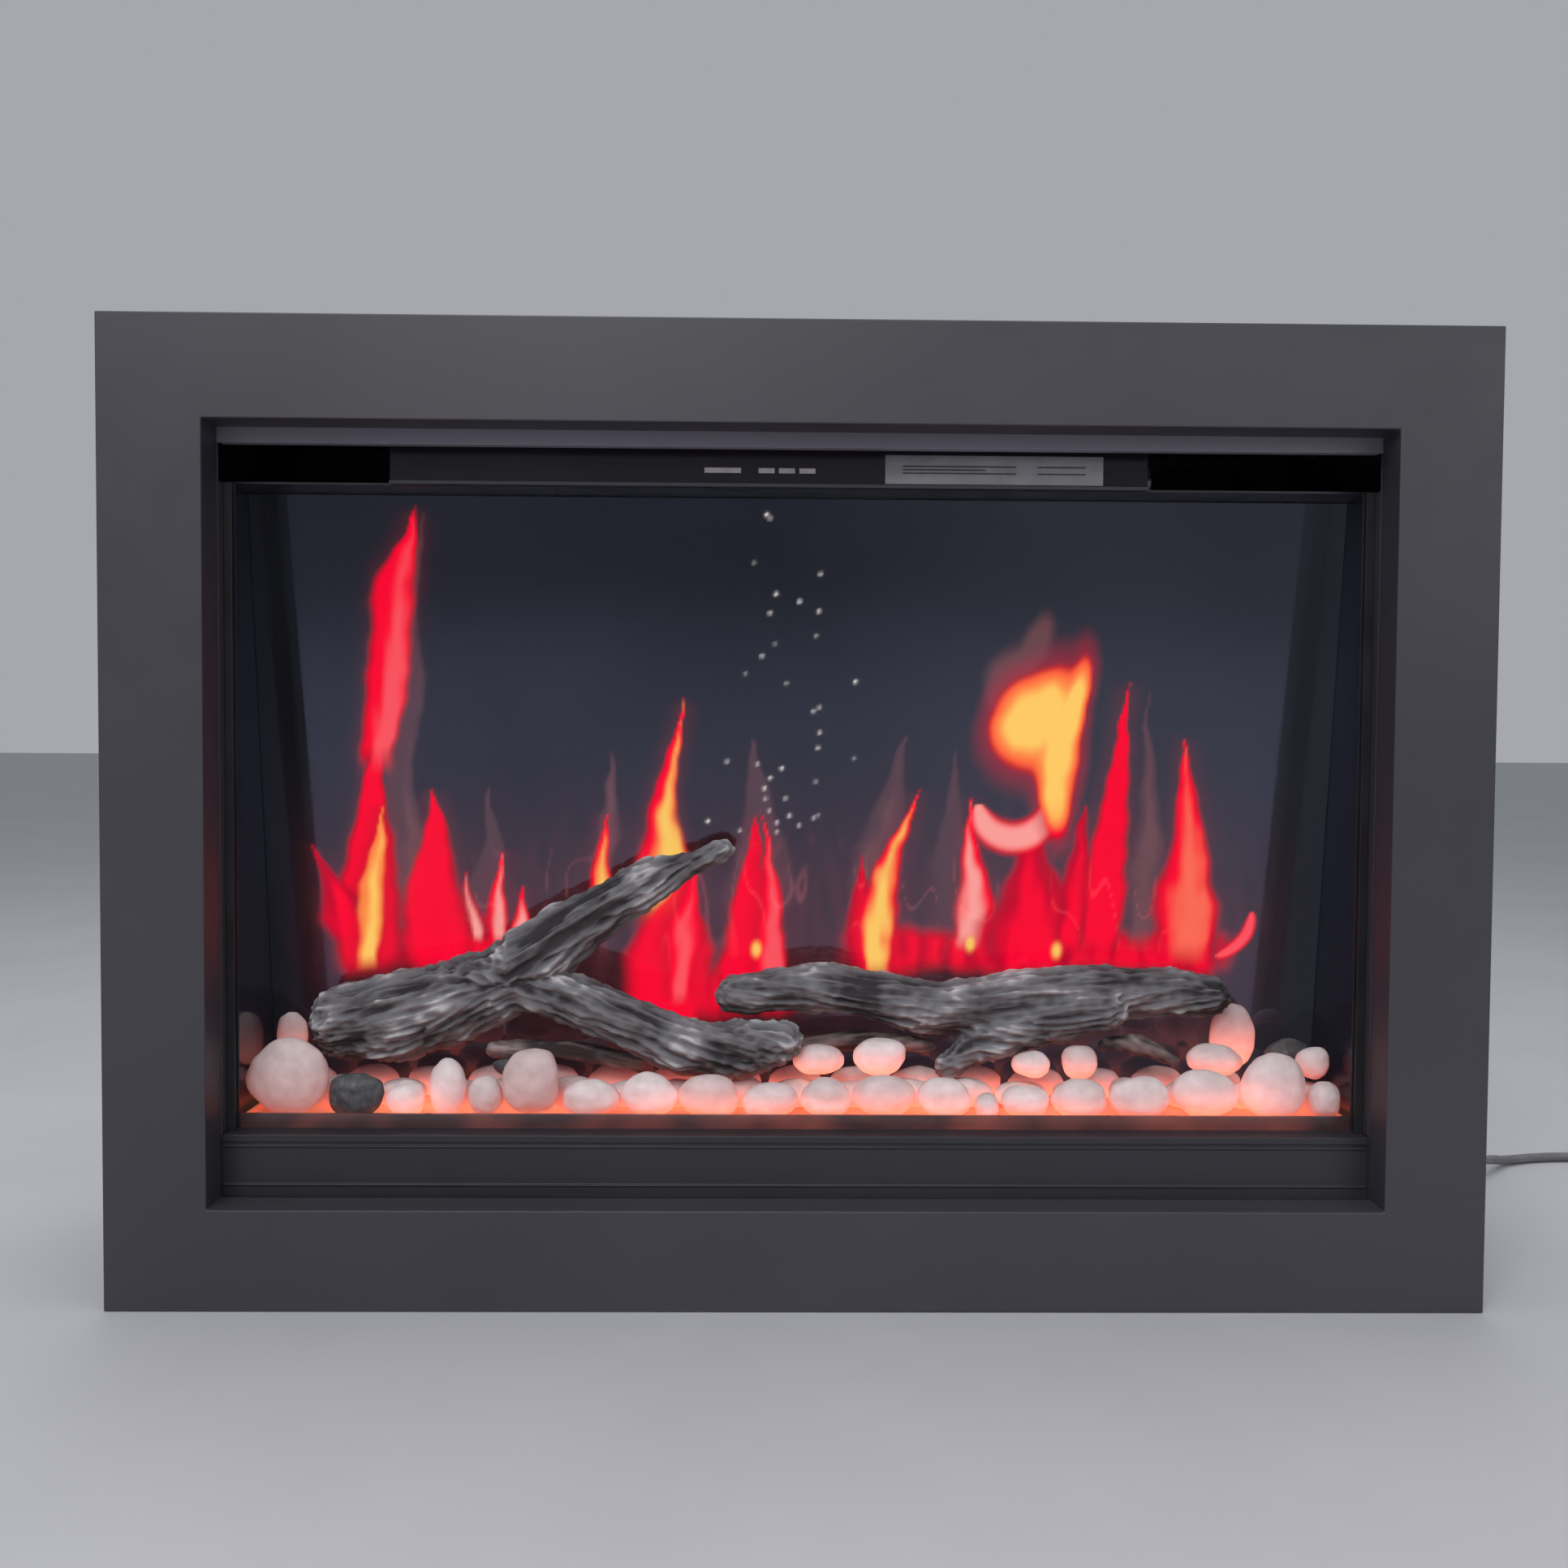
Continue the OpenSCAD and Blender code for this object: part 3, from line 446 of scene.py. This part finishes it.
SCREEN_GRID = 1.8 * MM
RED = (1.0, 0.0, 0.03)
CRIMSON = (0.5, 0.0, 0.022)
PINK = (1.0, 0.09, 0.12)
PALE = (1.0, 0.36, 0.33)
CORAL = (1.0, 0.15, 0.09)
ORANGE = (1.0, 0.24, 0.06)
YELLOW = (1.0, 0.6, 0.13)
GHOST = (0.13, 0.045, 0.045)
FAINT = (0.07, 0.028, 0.032)
HALO = (0.16, 0.008, 0.014)
HAZE = np.array((1.0, 0.16, 0.22)) * 0.045
# Painted reflection: a faint bluish grey added to the screen's glow in place of the room mirrored in it
PAINTED_REFLECTION = np.array((0.012, 0.0125, 0.017))
WISP = np.array((0.8, 0.2, 0.22)) * 0.13
SPARK = np.array((0.8, 0.74, 0.72))

# Tongues of flame, back to front. Each is its foot's place along the screen, its foot and tip
# heights, its half width, its lean at the tip, how far up it is widest, and the side its core
# lies to, all in millimetres or shares, then the colours of its edge and its core
TONGUES = [
    (-290, 300, 550, 12, 20, 0.5, 0, FAINT, FAINT),
    (-285, 260, 390, 12, 5, 0.3, 0, FAINT, GHOST),
    (-230, 250, 350, 14, 5, 0.2, 0, FAINT, FAINT),
    (-140, 290, 380, 8, 5, 0.3, 0, FAINT, GHOST),
    (-30, 250, 390, 28, 0, 0.1, 0, FAINT, FAINT),
    (55, 240, 390, 20, 20, 0.3, 0, FAINT, GHOST),
    (115, 250, 380, 16, 0, 0.3, 0, FAINT, FAINT),
    (260, 240, 425, 12, -5, 0.3, 0, FAINT, GHOST),
    (-320, 215, 400, 25, 20, 0.3, 0.2, RED, RED),
    (-305, 370, 550, 18, 30, 0.6, 0.3, RED, PINK),
    (-330, 235, 305, 22, -30, 0.2, 0, CRIMSON, RED),
    (-320, 215, 335, 10, 20, 0.5, 0.2, ORANGE, YELLOW),
    (-270, 215, 345, 26, 5, 0.3, 0, RED, RED),
    (-225, 235, 300, 10, 5, 0.2, 0.2, RED, PALE),
    (-240, 235, 285, 8, -5, 0.2, 0, CRIMSON, PALE),
    (-205, 235, 275, 8, 0, 0.2, 0, RED, PALE),
    (-145, 255, 330, 10, 5, 0.2, 0.1, RED, YELLOW),
    (-105, 255, 415, 20, 20, 0.15, 0.25, RED, YELLOW),
    (-100, 165, 290, 34, 15, 0.45, 0, RED, RED),
    (-90, 190, 290, 12, 10, 0.5, 0, RED, PINK),
    (-35, 195, 330, 26, 0, 0.1, 0, RED, RED),
    (-15, 200, 330, 12, -15, 0.15, 0.2, RED, PINK),
    (50, 215, 300, 16, 0, 0.3, 0, CRIMSON, RED),
    (60, 215, 350, 16, 25, 0.3, 0, RED, YELLOW),
    (130, 235, 345, 16, 0, 0.2, -0.2, RED, PALE),
    (175, 215, 320, 45, 0, 0.3, 0, CRIMSON, RED),
    (205, 230, 340, 16, 10, 0.4, 0, CRIMSON, RED),
    (230, 230, 430, 18, 10, 0.2, 0, RED, RED),
    (290, 230, 390, 24, -5, 0.2, 0.1, RED, CORAL),
]
# The great flame is one shape made of ovals: middle, height, half width, half height and lean
GREAT_FLAME = [
    (190, 340, 12, 30, -0.05), (190, 370, 16, 35, 0), (165, 395, 25, 32, 0.1),
    (180, 400, 22, 36, 0.2), (200, 405, 10, 38, 0.15),
]
GREAT_GHOST = [(155, 425, 25, 30, 0.15), (170, 450, 12, 30, 0.35)]
# Small hot spots: middle, height and half size
SPOTS = [(130, 230, 5), (195, 225, 5), (-30, 225, 5)]
# Curls of flame: middle, height, radius, half thickness, first and last angle, colours
CURLS = [
    (160, 335, 25, 12, 180, 370, RED, PALE),
    (305, 255, 35, 5, 285, 360, RED, PINK),
]
# Glowing bands along the foot of the fire: left end, right end, height and half height
BANDS = [(-335, -190, 225, 20), (40, 320, 225, 20), (-120, 0, 190, 20)]
# Faint filaments over the foot of the fire: the height of their middle and their reach
WISPS_AT, WISPS_REACH = 262, 34
HAZE_AT, HAZE_REACH = 240, 75
HALO_REACH = 8
SPARKS = 36
SPARK_REACH = 1.5
SPARK_HEIGHTS = (312, 545)
EDGE_BAND = 4 * MM


def smoothstep(low, high, value):
    """Rises smoothly from 0 at low to 1 at high."""
    t = np.clip((value - low) / (high - low), 0, 1)
    return t * t * (3 - 2 * t)


def fade(low, high, value):
    """Falls smoothly from 1 at low to 0 at high."""
    return 1 - smoothstep(low, high, value)


def bell(value, middle, reach):
    """Falls off smoothly from 1 on both sides of a middle."""
    return np.exp(-((value - middle) / reach) ** 2)


def screen_front():
    """The screen's edges, and its front face's Y at its top and at its foot."""
    co = np.array([v.co for v in frame["nodes"]["flame_screen"].data.vertices])
    low, high = co.min(0), co.max(0)
    top = co[co[:, 2] > high[2] - EDGE_BAND][:, 1].min()
    foot = co[co[:, 2] < low[2] + EDGE_BAND][:, 1].min()
    return low, high, top, foot


def wobble(x, z, scale, seed):
    """Smooth noise over the screen, one value a point."""
    return np.array([noise.noise(Vector((a * scale, b * scale, seed))) for a, b in zip(x, z)])


def oval_gap(x, z, ovals):
    """How far points are from a shape of blended ovals: below 1 inside it."""
    near = sum(
        np.exp(-6 * np.sqrt(((x - middle - lean * (z - height)) / wide) ** 2 + ((z - height) / tall) ** 2))
        for middle, height, wide, tall, lean in ovals
    )
    return -np.log(np.maximum(near, 1e-9)) / 6


def flame_light(x, z):
    """The colour of the projected fire at points on the screen, in millimetres, with a faint painted
    reflection.
    """
    light = np.zeros((len(x), 3))
    drift = 7 * wobble(x, z, 0.018, 1.7) + 2.5 * wobble(x, z, 0.06, 4.1)
    lift = 14 * wobble(x, z, 0.03, 8.3)
    grain = wobble(x * 2.4, z * 0.6, 0.05, 2.9)

    def lay(mask, edge, core, heat):
        """Lays a colour over the light, turning to its core's colour with the heat."""
        hot = smoothstep(0.2, 0.85, heat)[:, None]
        colour = np.array(edge) * (1 - hot) + np.array(core) * hot
        light[:] = light * (1 - mask[:, None]) + colour * mask[:, None]

    haze = bell(z, HAZE_AT, HAZE_REACH) * smoothstep(-390, -330, x) * fade(300, 385, x)
    light += (haze * (1 + 0.6 * grain))[:, None] * HAZE
    # Painted reflection of the room in the mirror, lighter towards the right
    painted_reflection = 0.3 + 0.7 * smoothstep(-50, 200, x)
    light += painted_reflection[:, None] * PAINTED_REFLECTION
    for left, right, height, half in BANDS:
        along = smoothstep(left - 15, left + 15, x) * fade(right - 15, right + 15, x)
        across = np.abs(z + lift * 0.5 - height) / half
        lay(0.9 * along * fade(0.3, 1.15, across), CRIMSON, RED, 0.65 + 0.7 * grain)
    for foot_x, foot, tip, half, lean, belly, side, edge, core in TONGUES:
        t = (z + lift * 0.35 - foot) / (tip - foot)
        up = np.clip(t, 0, 1)
        rise = 0.72 + 0.28 * np.sin(math.pi / 2 * np.clip(up / belly, 0, 1))
        taper = np.clip((1 - up) / (1 - belly), 0, 1) ** 1.15
        width = np.maximum(half * np.minimum(rise, taper), 0.3)
        middle = foot_x + lean * up ** 1.4
        away = (x + drift - middle) / width
        ends = smoothstep(-0.1, 0.04, t) * fade(0.93, 1.0, t)
        halo = bell(np.maximum(np.abs(away) * width - width * 0.8, 0), 0, HALO_REACH)
        lay(0.3 * halo * ends * edge[0], HALO, HALO, up)
        mask = fade(0.62, 1.12, np.abs(away)) * ends
        heat = (1.15 - np.abs(away - side) * 1.1) * (1.05 - 0.75 * up) + 0.3 * grain
        lay(0.95 * mask, edge, core, heat)
    ghost = oval_gap(x + drift, z + lift * 0.5, GREAT_GHOST)
    lay(0.9 * fade(0.5, 1.15, ghost), FAINT, GHOST, 1.3 - ghost)
    for middle_x, height, radius, half, first, last, edge, core in CURLS:
        dx, dz = x + drift * 0.4 - middle_x, z - height
        turn = (np.degrees(np.arctan2(dz, dx)) - first) % 360
        run = turn / (last - first)
        thick = half * (0.15 + 2 * np.sqrt(np.clip(run * (1 - run), 0, 1)))
        gap = np.abs(np.hypot(dx, dz) - radius) / thick
        mask = fade(0.55, 1.15, gap) * (run <= 1)
        lay(0.95 * mask, edge, core, 1.15 - gap)
    great = oval_gap(x + drift * 0.6, z + lift * 0.25, GREAT_FLAME)
    lay(0.5 * fade(0.9, 1.7, great), CRIMSON, CRIMSON, great)
    lay(0.98 * fade(0.85, 1.1, great), RED, ORANGE, smoothstep(270, 330, z) * 1.5 - 1.1 * great)
    core = fade(0.45, 0.9, great) * smoothstep(300, 345, z)
    lay(0.98 * core, ORANGE, YELLOW, 1.45 - 1.4 * great + 0.2 * grain)
    for middle_x, height, half in SPOTS:
        gap = np.hypot(x - middle_x, (z - height) * 0.6) / half
        lay(0.9 * fade(0.3, 1.2, gap), ORANGE, YELLOW, 1.2 - gap)
    wisps = smoothstep(0.9, 0.99, 1 - 1.8 * np.abs(wobble(x, z * 0.3, 0.06, 6.6)))
    wisps *= bell(z, WISPS_AT, WISPS_REACH) * smoothstep(-260, -230, x) * fade(270, 300, x)
    light += wisps[:, None] * WISP
    dice = random.Random(12)
    for _ in range(SPARKS):
        height = dice.uniform(*SPARK_HEIGHTS)
        place = dice.gauss(0, 26) + 12 * math.sin(height / 30)
        glint = np.exp(-((x - place) ** 2 + (z - height) ** 2) / SPARK_REACH)
        light += glint[:, None] * SPARK * dice.uniform(0.35, 1.2)
    return np.clip(light, 0, 1)


def screen_material():
    """Smoked half-mirror with the fire projected through it from behind, and a faint painted reflection."""
    s = Shader("half_mirror", Metallic=1.0, Emission_Strength=1.0)
    plain = s.ramp(s.noise(3, 3), (0.35, (0.042, 0.045, 0.066)), (0.65, (0.058, 0.061, 0.088)))
    s.set(Base_Color=s.blend(s.attribute("cover"), plain, (0.004, 0.004, 0.006, 1)))
    s.set(Roughness=s.span(s.noise(20, 4), 0.05, 0.09))
    s.set(Emission_Color=s.attribute("fire", "Color"))
    return s.mat


def add_flame_screen():
    """The leaning screen, with the fire's light and a painted reflection stored on a fine grid over its
    front.
    """
    low, high, top, foot = screen_front()
    columns = int((high[0] - low[0]) / SCREEN_GRID)
    rows = int((high[2] - low[2]) / SCREEN_GRID)
    x, z = np.meshgrid(np.linspace(low[0], high[0], columns), np.linspace(low[2], high[2], rows))
    y = foot + (top - foot) * (z - low[2]) / (high[2] - low[2])
    front = np.stack([x, y, z], -1).reshape(-1, 3)
    back = front[[0, columns - 1, -1, -columns]] + (0, high[1] - foot, 0)
    faces = [
        (r * columns + c, r * columns + c + 1, (r + 1) * columns + c + 1, (r + 1) * columns + c)
        for r in range(rows - 1) for c in range(columns - 1)
    ]
    n = len(front)
    last = (rows - 1) * columns
    faces += [
        (n + 3, n + 2, n + 1, n),
        (*range(columns - 1, -1, -1), n, n + 1),
        (*range(last, last + columns), n + 2, n + 3),
        (*range(0, last + 1, columns), n + 3, n),
        (*range(last + columns - 1, columns - 2, -columns), n + 1, n + 2),
    ]
    mesh = bpy.data.meshes.new("fire_screen")
    mesh.from_pydata(np.vstack([front, back]).tolist(), [], faces)
    light = np.zeros((n + 4, 4))
    light[:n, :3] = flame_light(front[:, 0] / MM, front[:, 2] / MM)
    light[:, 3] = 1
    mesh.attributes.new("fire", "FLOAT_COLOR", "POINT").data.foreach_set("color", light.ravel())
    cover = smoothstep(0.1, 0.6, light[:, :3].max(1))
    mesh.attributes.new("cover", "FLOAT", "POINT").data.foreach_set("value", cover)
    screen = new_object("fire_screen", mesh)
    put_material(screen, screen_material())
    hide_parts("flame_screen")


add_flame_screen()

# ---------------------------------------------------------------- pebbles

# The CAD's balls are faceted, so their measured half size is a little small
BALL_FACET = 0.924
ROUNDNESS = 0.96
WEAR = 0.97
GLOW_SPOTS = [(-275, 30), (-60, 65), (50, 45), (155, 70), (300, 40)]
BED_REACH = 40 * MM


def islands(node):
    """The centre and half size of each loose solid of a CAD node."""
    bm = bmesh.new()
    bm.from_mesh(frame["nodes"][node].data)
    bmesh.ops.remove_doubles(bm, verts=bm.verts, dist=SAME_PLACE)
    left = set(bm.verts)
    found = []
    while left:
        pile = [left.pop()]
        group = []
        while pile:
            v = pile.pop()
            group.append(v.co.copy())
            for e in v.link_edges:
                other = e.other_vert(v)
                if other in left:
                    left.remove(other)
                    pile.append(other)
        co = np.array(group)
        found.append((Vector((co.min(0) + co.max(0)) / 2), Vector((co.max(0) - co.min(0)) / 2)))
    bm.free()
    return sorted(found, key=lambda f: tuple(f[0]))


def warmth(x):
    """How strongly the ember lamps shine at a place along the bed, from 0 to 1."""
    return min(1.0, 0.25 + sum(math.exp(-(((x / MM) - m) / w) ** 2) for m, w in GLOW_SPOTS))


def add_pebbles(name, node, mat, lumps):
    """Turns each plain ball of a CAD node into a worn pebble of its own shape."""
    verts, faces, glow, tint = [], [], [], []
    ball = bmesh.new()
    bmesh.ops.create_icosphere(ball, subdivisions=4, radius=1)
    shape = [v.co.copy() for v in ball.verts]
    skin = [[v.index for v in f.verts] for f in ball.faces]
    ball.free()
    dice = random.Random(5)
    bed_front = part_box("white_pebbles")[0].y + 15 * MM
    for centre, half in islands(node):
        seed = Vector((dice.uniform(0, 90), dice.uniform(0, 90), dice.uniform(0, 90)))
        start, shade = len(verts), dice.random()
        size = half / BALL_FACET
        # Pebbles further back take more of the painted ember glow, which lights up the back rows
        back_row_glow = 0.35 * min(1.0, max(0.0, (centre.y - bed_front) / BED_REACH))
        for p in shape:
            flat = Vector([math.copysign(abs(c) ** ROUNDNESS, c) for c in p])
            lump = 1 + lumps * noise.noise(p * 0.9 + seed) + 0.25 * lumps * noise.noise(p * 3 + seed)
            q = centre + Vector([f * s for f, s in zip(flat, size)]) * lump * WEAR
            verts.append(q)
            low = fade(-0.9, 0.95, p.z)
            glow.append(float(low) * min(1.0, warmth(q.x) + back_row_glow))
            tint.append(shade)
        faces += [[start + i for i in f] for f in skin]
    mesh = bpy.data.meshes.new(name)
    mesh.from_pydata(verts, [], faces)
    mesh.attributes.new("glow", "FLOAT", "POINT").data.foreach_set("value", glow)
    mesh.attributes.new("tint", "FLOAT", "POINT").data.foreach_set("value", tint)
    smooth_shade(mesh)
    piece = new_object(name, mesh)
    put_material(piece, mat)
    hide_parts(node)


def pebble_material():
    """Frosted white pebbles that pass the ember lamps' light up through their feet."""
    s = Shader("white_pebble", Emission_Strength=1.1, Specular_IOR_Level=0.3)
    s.set(Subsurface_Weight=0.12, Subsurface_Scale=0.006)
    mottle = s.noise(110, 6)
    dull = s.ramp(mottle, (0.3, (0.46, 0.38, 0.375)), (0.7, (0.58, 0.49, 0.48)))
    clean = s.ramp(mottle, (0.3, (0.62, 0.57, 0.57)), (0.7, (0.76, 0.71, 0.71)))
    s.set(Base_Color=s.blend(s.attribute("tint"), dull, clean))
    s.set(Roughness=s.span(mottle, 0.4, 0.6))
    s.set(Emission_Color=s.ramp(
        s.attribute("glow"), (0.0, (0.03, 0.004, 0.004)), (0.3, (0.24, 0.04, 0.03)),
        (0.6, (0.56, 0.11, 0.075)), (1.0, (0.85, 0.23, 0.12)),
    ))
    s.bump(s.noise(420, 4), 0.25, 0.5)
    return s.mat


def stone_material():
    """Slate-grey stones with pale flecks."""
    s = Shader("dark_stone", Specular_IOR_Level=0.4)
    s.set(Base_Color=s.ramp(
        s.noise(160, 7), (0.3, (0.035, 0.036, 0.04)), (0.6, (0.09, 0.09, 0.095)), (0.75, (0.2, 0.19, 0.19)),
    ))
    s.set(Roughness=s.span(s.noise(80), 0.55, 0.75))
    s.bump(s.noise(300, 5), 0.35, 0.7)
    return s.mat


add_pebbles("pebble_bed", "white_pebbles", pebble_material(), 0.16)
add_pebbles("slate_stones", "dark_stones", stone_material(), 0.22)

# ---------------------------------------------------------------- logs

# The run of the grain in each log, as lines of (x, z) ends in metres
GRAIN = {
    "log_left": [
        ((-0.32, 0.17), (-0.22, 0.20)), ((-0.22, 0.20), (-0.06, 0.30)), ((-0.21, 0.21), (-0.06, 0.15)),
    ],
    "log_right": [((-0.05, 0.20), (0.13, 0.18)), ((0.13, 0.18), (0.31, 0.20))],
    "twigs": [((-0.22, 0.16), (-0.11, 0.14)), ((0.0, 0.15), (0.10, 0.16)), ((0.22, 0.17), (0.27, 0.14))],
}
LOG_VOXEL = 1.5 * MM
# The carving's height that leaves a point where the CAD has it
LOG_FLUSH = 0.62


def grain_place(point, lines):
    """A point's place along and across the nearest grain line, and its depth."""
    best = None
    for (ax, az), (bx, bz) in lines:
        run = Vector((bx - ax, bz - az))
        away = Vector((point.x - ax, point.z - az))
        t = min(max(away.dot(run) / run.length_squared, -0.2), 1.2)
        gap = (away - run * t).length
        if best is None or gap < best[0]:
            way = run.normalized()
            best = gap, Vector((away.dot(way) + ax, way.x * away.y - way.y * away.x, point.y))
    return best[1]


def remeshed(node):
    """An even, closed skin of small faces over a CAD node's solids."""
    piece = frame["nodes"][node].copy()
    piece.data = frame["nodes"][node].data.copy()
    bpy.context.scene.collection.objects.link(piece)
    voxel = piece.modifiers.new("voxel", "REMESH")
    voxel.mode = "VOXEL"
    voxel.voxel_size = LOG_VOXEL
    ease = piece.modifiers.new("ease", "SMOOTH")
    ease.factor = 0.5
    ease.iterations = 8
    shown = piece.evaluated_get(bpy.context.evaluated_depsgraph_get())
    mesh = bpy.data.meshes.new_from_object(shown)
    bpy.data.objects.remove(piece)
    return mesh


def vein(g, along, across, bend, shift=0):
    """Ridges that run with the grain: 1 on a crest, and below 0 in a valley."""
    return 1 - 1.7 * abs(noise.noise(Vector((g.x * along + shift, g.y * across + bend, g.z * across))))


def add_log(name, node, depth_mm, finish):
    """Carves deep charred grain into a log, and stores how far each point stands proud."""
    mesh = remeshed(node)
    ridge = []
    moved = []
    for v in mesh.vertices:
        g = grain_place(v.co, GRAIN[node])
        bend = 0.25 * noise.noise(v.co * 22)
        broad = vein(g, 14, 105, bend)
        narrow = vein(g, 24, 230, bend, 5)
        fine = noise.noise(Vector((g.x * 70, g.y * 420, g.z * 420)))
        lumps = noise.noise(v.co * 30 + Vector((4, 9, 2)))
        chips = noise.noise(v.co * 150)
        height = 0.42 * broad + 0.3 * narrow + 0.2 * fine + 0.5 * lumps + 0.18 * chips
        ridge.append(min(max(height, 0), 1))
        moved.append(v.co + v.normal * (height - LOG_FLUSH) * depth_mm * MM)
    for v, co in zip(mesh.vertices, moved):
        v.co = co
    mesh.attributes.new("ridge", "FLOAT", "POINT").data.foreach_set("value", ridge)
    smooth_shade(mesh)
    piece = new_object(name, mesh)
    put_material(piece, finish)
    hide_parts(node)


def wood_material(name, brown_and_ember_light, browned):
    """Charred wood: dark valleys, grey flanks, pale ash on the ridges, and a warm brown on the lower faces
    that is painted ember light from below.
    """
    s = Shader(name, Specular_IOR_Level=0.2)
    down = s.add("SeparateXYZ", Vector=s.add("NewGeometry").outputs["Normal"]).outputs["Z"]
    char = s.ramp(
        s.attribute("ridge"), (0.1, (0.035, 0.031, 0.034)), (0.4, (0.125, 0.12, 0.13)),
        (0.68, (0.2, 0.195, 0.21)), (0.92, (0.5, 0.48, 0.49)),
    )
    # Warm brown by facing: on lower faces it is painted ember light from below; browned is the wood's own
    # brown on upper faces
    ember_lit_brown_ramp = s.ramp(s.attribute("ridge"), (0.2, (0.04, 0.024, 0.022)), (0.8, brown_and_ember_light))
    s.set(Base_Color=s.blend(s.span(down, 0.9, browned, -0.6, 0.3), char, ember_lit_brown_ramp))
    s.set(Roughness=s.span(s.noise(70), 0.75, 0.95))
    s.bump(s.noise(380, 6), 0.5, 0.8)
    return s.mat


# First colour: painted ember light on the lower faces, for the twigs also their own brown
LOG_FINISH = wood_material("charred_wood", (0.2, 0.14, 0.13), 0.0)
TWIG_FINISH = wood_material("browned_wood", (0.24, 0.14, 0.12), 0.55)
add_log("charred_log_left", "log_left", 8.0, LOG_FINISH)
add_log("charred_log_right", "log_right", 7.0, LOG_FINISH)
add_log("charred_twigs", "twigs", 2.5, TWIG_FINISH)

# ---------------------------------------------------------------- label

# Each bar's left end, height and right end, as shares of the label
LABEL_BARS = [
    (0.08, 0.62, 0.60), (0.08, 0.50, 0.46), (0.08, 0.38, 0.60), (0.70, 0.62, 0.92), (0.70, 0.38, 0.92),
]


LABEL_BAR_HALF = 0.5 * MM
LABEL_BAR_PROUD = 0.1 * MM


def add_label_marks():
    """Plain bars where a rating label has its print."""
    low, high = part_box("rating_label")
    wide, tall = high.x - low.x, high.z - low.z

    def build(bm):
        for left, height, right in LABEL_BARS:
            z = low.z + tall * height
            add_box(bm, (low.x + wide * left, low.y - LABEL_BAR_PROUD, z - LABEL_BAR_HALF),
                    (low.x + wide * right, low.y + LABEL_BAR_PROUD, z + LABEL_BAR_HALF))

    marks = new_object("label_bars", mesh_from("label_bars", build))
    s = Shader("label_ink")
    s.set(Base_Color=s.ramp(s.noise(300), (0.3, (0.03, 0.03, 0.03)), (0.7, (0.06, 0.06, 0.06))))
    s.set(Roughness=s.span(s.noise(200), 0.5, 0.7))
    put_material(marks, s.mat)


add_label_marks()

# ---------------------------------------------------------------- floor and light

FLOOR_REACH = 30
FLOOR_LOW, FLOOR_TOP = -0.02, -0.0002
WORLD_COLOUR = (0.9, 0.93, 1.0, 1)


def add_floor():
    """A plain pale floor under the insert."""
    low, high = (-FLOOR_REACH, -FLOOR_REACH, FLOOR_LOW), (FLOOR_REACH, FLOOR_REACH, FLOOR_TOP)
    floor = bpy.data.objects.new("floor", mesh_from("floor", lambda bm: add_box(bm, low, high)))
    bpy.context.scene.collection.objects.link(floor)
    s = Shader("pale_floor")
    s.set(Base_Color=s.ramp(s.noise(4, 4), (0.3, (0.42, 0.42, 0.45)), (0.7, (0.45, 0.45, 0.48))))
    s.set(Roughness=s.span(s.noise(30), 0.55, 0.65))
    put_material(floor, s.mat)


def add_area(name, place, target, size, watts):
    """A soft square lamp aimed at a point."""
    data = bpy.data.lights.new(name, "AREA")
    data.size = size
    data.energy = watts
    lamp = bpy.data.objects.new(name, data)
    lamp.location = place
    lamp.rotation_euler = (Vector(target) - Vector(place)).to_track_quat("-Z", "Y").to_euler()
    bpy.context.scene.collection.objects.link(lamp)


def add_world(strength):
    """Even grey light from all round."""
    world = bpy.data.worlds.new("studio")
    world.use_nodes = True
    back = world.node_tree.nodes["Background"]
    back.inputs["Color"].default_value = WORLD_COLOUR
    back.inputs["Strength"].default_value = strength
    bpy.context.scene.world = world


add_floor()
add_world(0.42)
add_area("key", (-0.7, -2.3, 2.6), (0, 0, 0.3), size=1.8, watts=62)
add_area("fill", (1.9, -2.2, 1.5), (0, 0, 0.3), size=1.6, watts=10)
add_area("top", (0.0, 0.2, 2.6), (0, 0, 0.5), size=1.6, watts=30)
bpy.context.scene.view_settings.view_transform = "Standard"
bpy.context.scene.cycles.use_denoising = True
